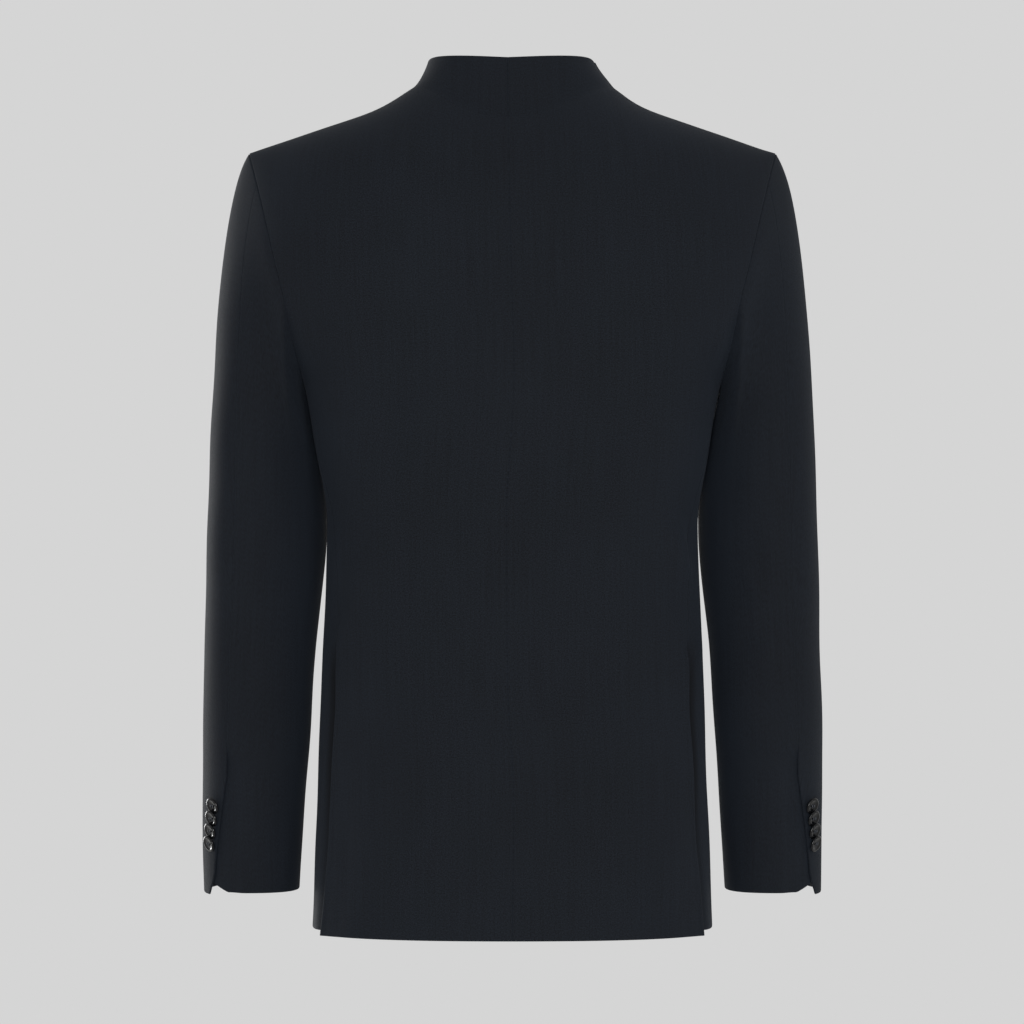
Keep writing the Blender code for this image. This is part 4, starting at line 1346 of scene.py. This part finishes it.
def sew_buttons(name, places, outs, sides, button, threads, nodes):
    """One piece of several buttons, in place of their nodes."""
    values = {"Button": button, "Threads": threads, "Button Material": horn, "Thread Material": thread}
    made = grown(name, places, [], {"out": outs, "side": sides}, button_group, values)
    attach(made, "root")
    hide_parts(*nodes)
    pieces[name] = made


print("faces of one cuff button:", len(cuff_button.data.polygons))

# %% Sew on the cuff buttons
for side, sign in (("left", 1), ("right", -1)):
    places, outs, sides = [], [], []
    for share in np.linspace(0, 1, CUFF_BUTTON_COUNT):
        first_angle, last_angle = CUFF_BUTTON_ANGLES
        angle = math.radians(first_angle + (last_angle - first_angle) * share)
        level = CUFF_BUTTON_FIRST - CUFF_BUTTON_PITCH * share * (CUFF_BUTTON_COUNT - 1)
        here = sleeve_ring(angle, level)
        along = unit(sleeve_ring(angle, level + PROBE) - here)
        around = unit(sleeve_ring(angle + PROBE, level) - here)
        out = np.cross(around, along)
        flip = np.array([sign, 1, 1])
        places.append((here + out * CUFF_BUTTON_STANDOFF) * flip)
        outs.append((out * math.cos(CUFF_BUTTON_TILT) - along * math.sin(CUFF_BUTTON_TILT)) * flip)
        sides.append(around * flip)
    nodes = [f"cuff_button_{side}_{i + 1}" for i in range(CUFF_BUTTON_COUNT)]
    sew_buttons(f"cuff_buttons_{side}", places, outs, sides, cuff_button, cuff_threads, nodes)
print("cuff buttons:", 2 * CUFF_BUTTON_COUNT)

# %% Sew on the front buttons
BEFORE_FRONT = -1.0
front_data = pieces["front_left"].data
front_points = [vertex.co for vertex in front_data.vertices]
front_skin = BVHTree.FromPolygons(front_points, [face.vertices for face in front_data.polygons])


def on_front(across, level):
    """The point and the outward direction where the left front's face lies at a place seen from the front."""
    point, out, _, _ = front_skin.ray_cast(Vector((across, BEFORE_FRONT, level)), Vector((0, 1, 0)))
    return np.array(point), np.array(out)


front_levels = [FRONT_BUTTON_FIRST - FRONT_BUTTON_PITCH * i for i in range(FRONT_BUTTON_COUNT)]
seats = [on_front(0, level) for level in front_levels]
places = [point + out * FRONT_BUTTON_STANDOFF for point, out in seats]
outs = [out for _, out in seats]
nodes = [f"front_button_{i + 1}" for i in range(FRONT_BUTTON_COUNT)]
sew_buttons("front_buttons", places, outs, [(1, 0, 0)] * len(places), front_button, front_threads, nodes)
for pattern in (cuff_button, cuff_threads, front_button, front_threads):
    bpy.data.objects.remove(pattern, do_unlink=True)
print("front buttons:", FRONT_BUTTON_COUNT)

# %% [markdown]
# ## Buttonholes
# Each buttonhole on the left front is a slit bound with close stitches over its edge. A second node group
# walks along a line drawn round the slit, and lays one short arched thread across it at every step.

# %% Geometry Nodes group that stitches along a line
stitch_group, given = new_group(
    "stitch_along_line",
    {"Line": "Geometry", "Stitch": "Object", "Pitch": "Float", "Material": "Material"},
)
line = add_node(stitch_group, "GeometryNodeMeshToCurve", {"Mesh": given["Line"]})
stepped = {"Curve": line.outputs[0], "Length": given["Pitch"]}
steps = add_node(stitch_group, "GeometryNodeResampleCurve", stepped, mode="LENGTH")
turned = turned_along(stitch_group, add_node(stitch_group, "GeometryNodeInputTangent").outputs[0])
stitches = real_copies(stitch_group, steps.outputs[0], given["Stitch"], turned, given["Material"])
add_node(stitch_group, "NodeGroupOutput", {"Sewn": stitches})
print("nodes that stitch along a line:", len(stitch_group.nodes))

# %% Stitch the buttonholes
HOLE_START = -0.004
HOLE_END = 0.0195
HOLE_EDGE = 0.0010
HOLE_EYE = 0.0019
HOLE_EYE_SHARES = (0.88, 0.97)
HOLE_END_STEEPNESS = 3
HOLE_POINTS = 72
STITCH_PITCH = 0.0006
STITCH_HALF = 0.0010
STITCH_RADIUS = 0.00026
STITCH_ARCH = 0.0003
STITCH_SINK = 0.0001
STITCH_STEPS = 7
STITCH_SIDES = 6

arc = np.linspace(-1, 1, STITCH_STEPS)
stitch_path = [(0, y * STITCH_HALF, STITCH_ARCH * (1 - y * y) - STITCH_SINK) for y in arc]
stitch = thread_object("stitch", [tube(stitch_path, (1, 0, 0), STITCH_RADIUS, STITCH_SIDES)])
points, outs, edges = [], [], []
for level in front_levels:
    first = len(points)
    for turn in np.arange(HOLE_POINTS) * 2 * math.pi / HOLE_POINTS:
        share = (1 + math.cos(turn)) / 2
        rise = HOLE_EDGE + (HOLE_EYE - HOLE_EDGE) * ramp(1 - share, *HOLE_EYE_SHARES)
        beside = rise * np.clip(math.sin(turn) * HOLE_END_STEEPNESS, -1, 1)
        point, out = on_front(HOLE_START + (HOLE_END - HOLE_START) * share, level + beside)
        points.append(point)
        outs.append(out)
    edges += [(first + i, first + (i + 1) % HOLE_POINTS) for i in range(HOLE_POINTS)]
values = {"Stitch": stitch, "Pitch": STITCH_PITCH, "Material": thread}
buttonholes = grown("buttonholes", points, edges, {"out": outs}, stitch_group, values)
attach(buttonholes, "root")
pieces["buttonholes"] = buttonholes
bpy.data.objects.remove(stitch, do_unlink=True)
print("buttonhole stitching faces:", len(buttonholes.data.polygons))

# %% [markdown]
# ## Sizes of the cut
# A flat pattern piece lies behind each of these shapes. The table lists each with its width, length and area.

Cut = namedtuple("Cut", "piece width length area")
CUTS = (
    Cut("back", 0.250, 0.760, 0.147),
    Cut("front", 0.340, 0.760, 0.201),
    Cut("collar", 0.240, 0.062, 0.011),
    Cut("under_sleeve", 0.190, 0.560, 0.082),
    Cut("top_sleeve", 0.215, 0.640, 0.099),
)
for cut in CUTS:
    for side in ("left", "right"):
        name = f"{cut.piece}_{side}"
print("cloth in square metres:", round(2 * sum(cut.area for cut in CUTS), 3))
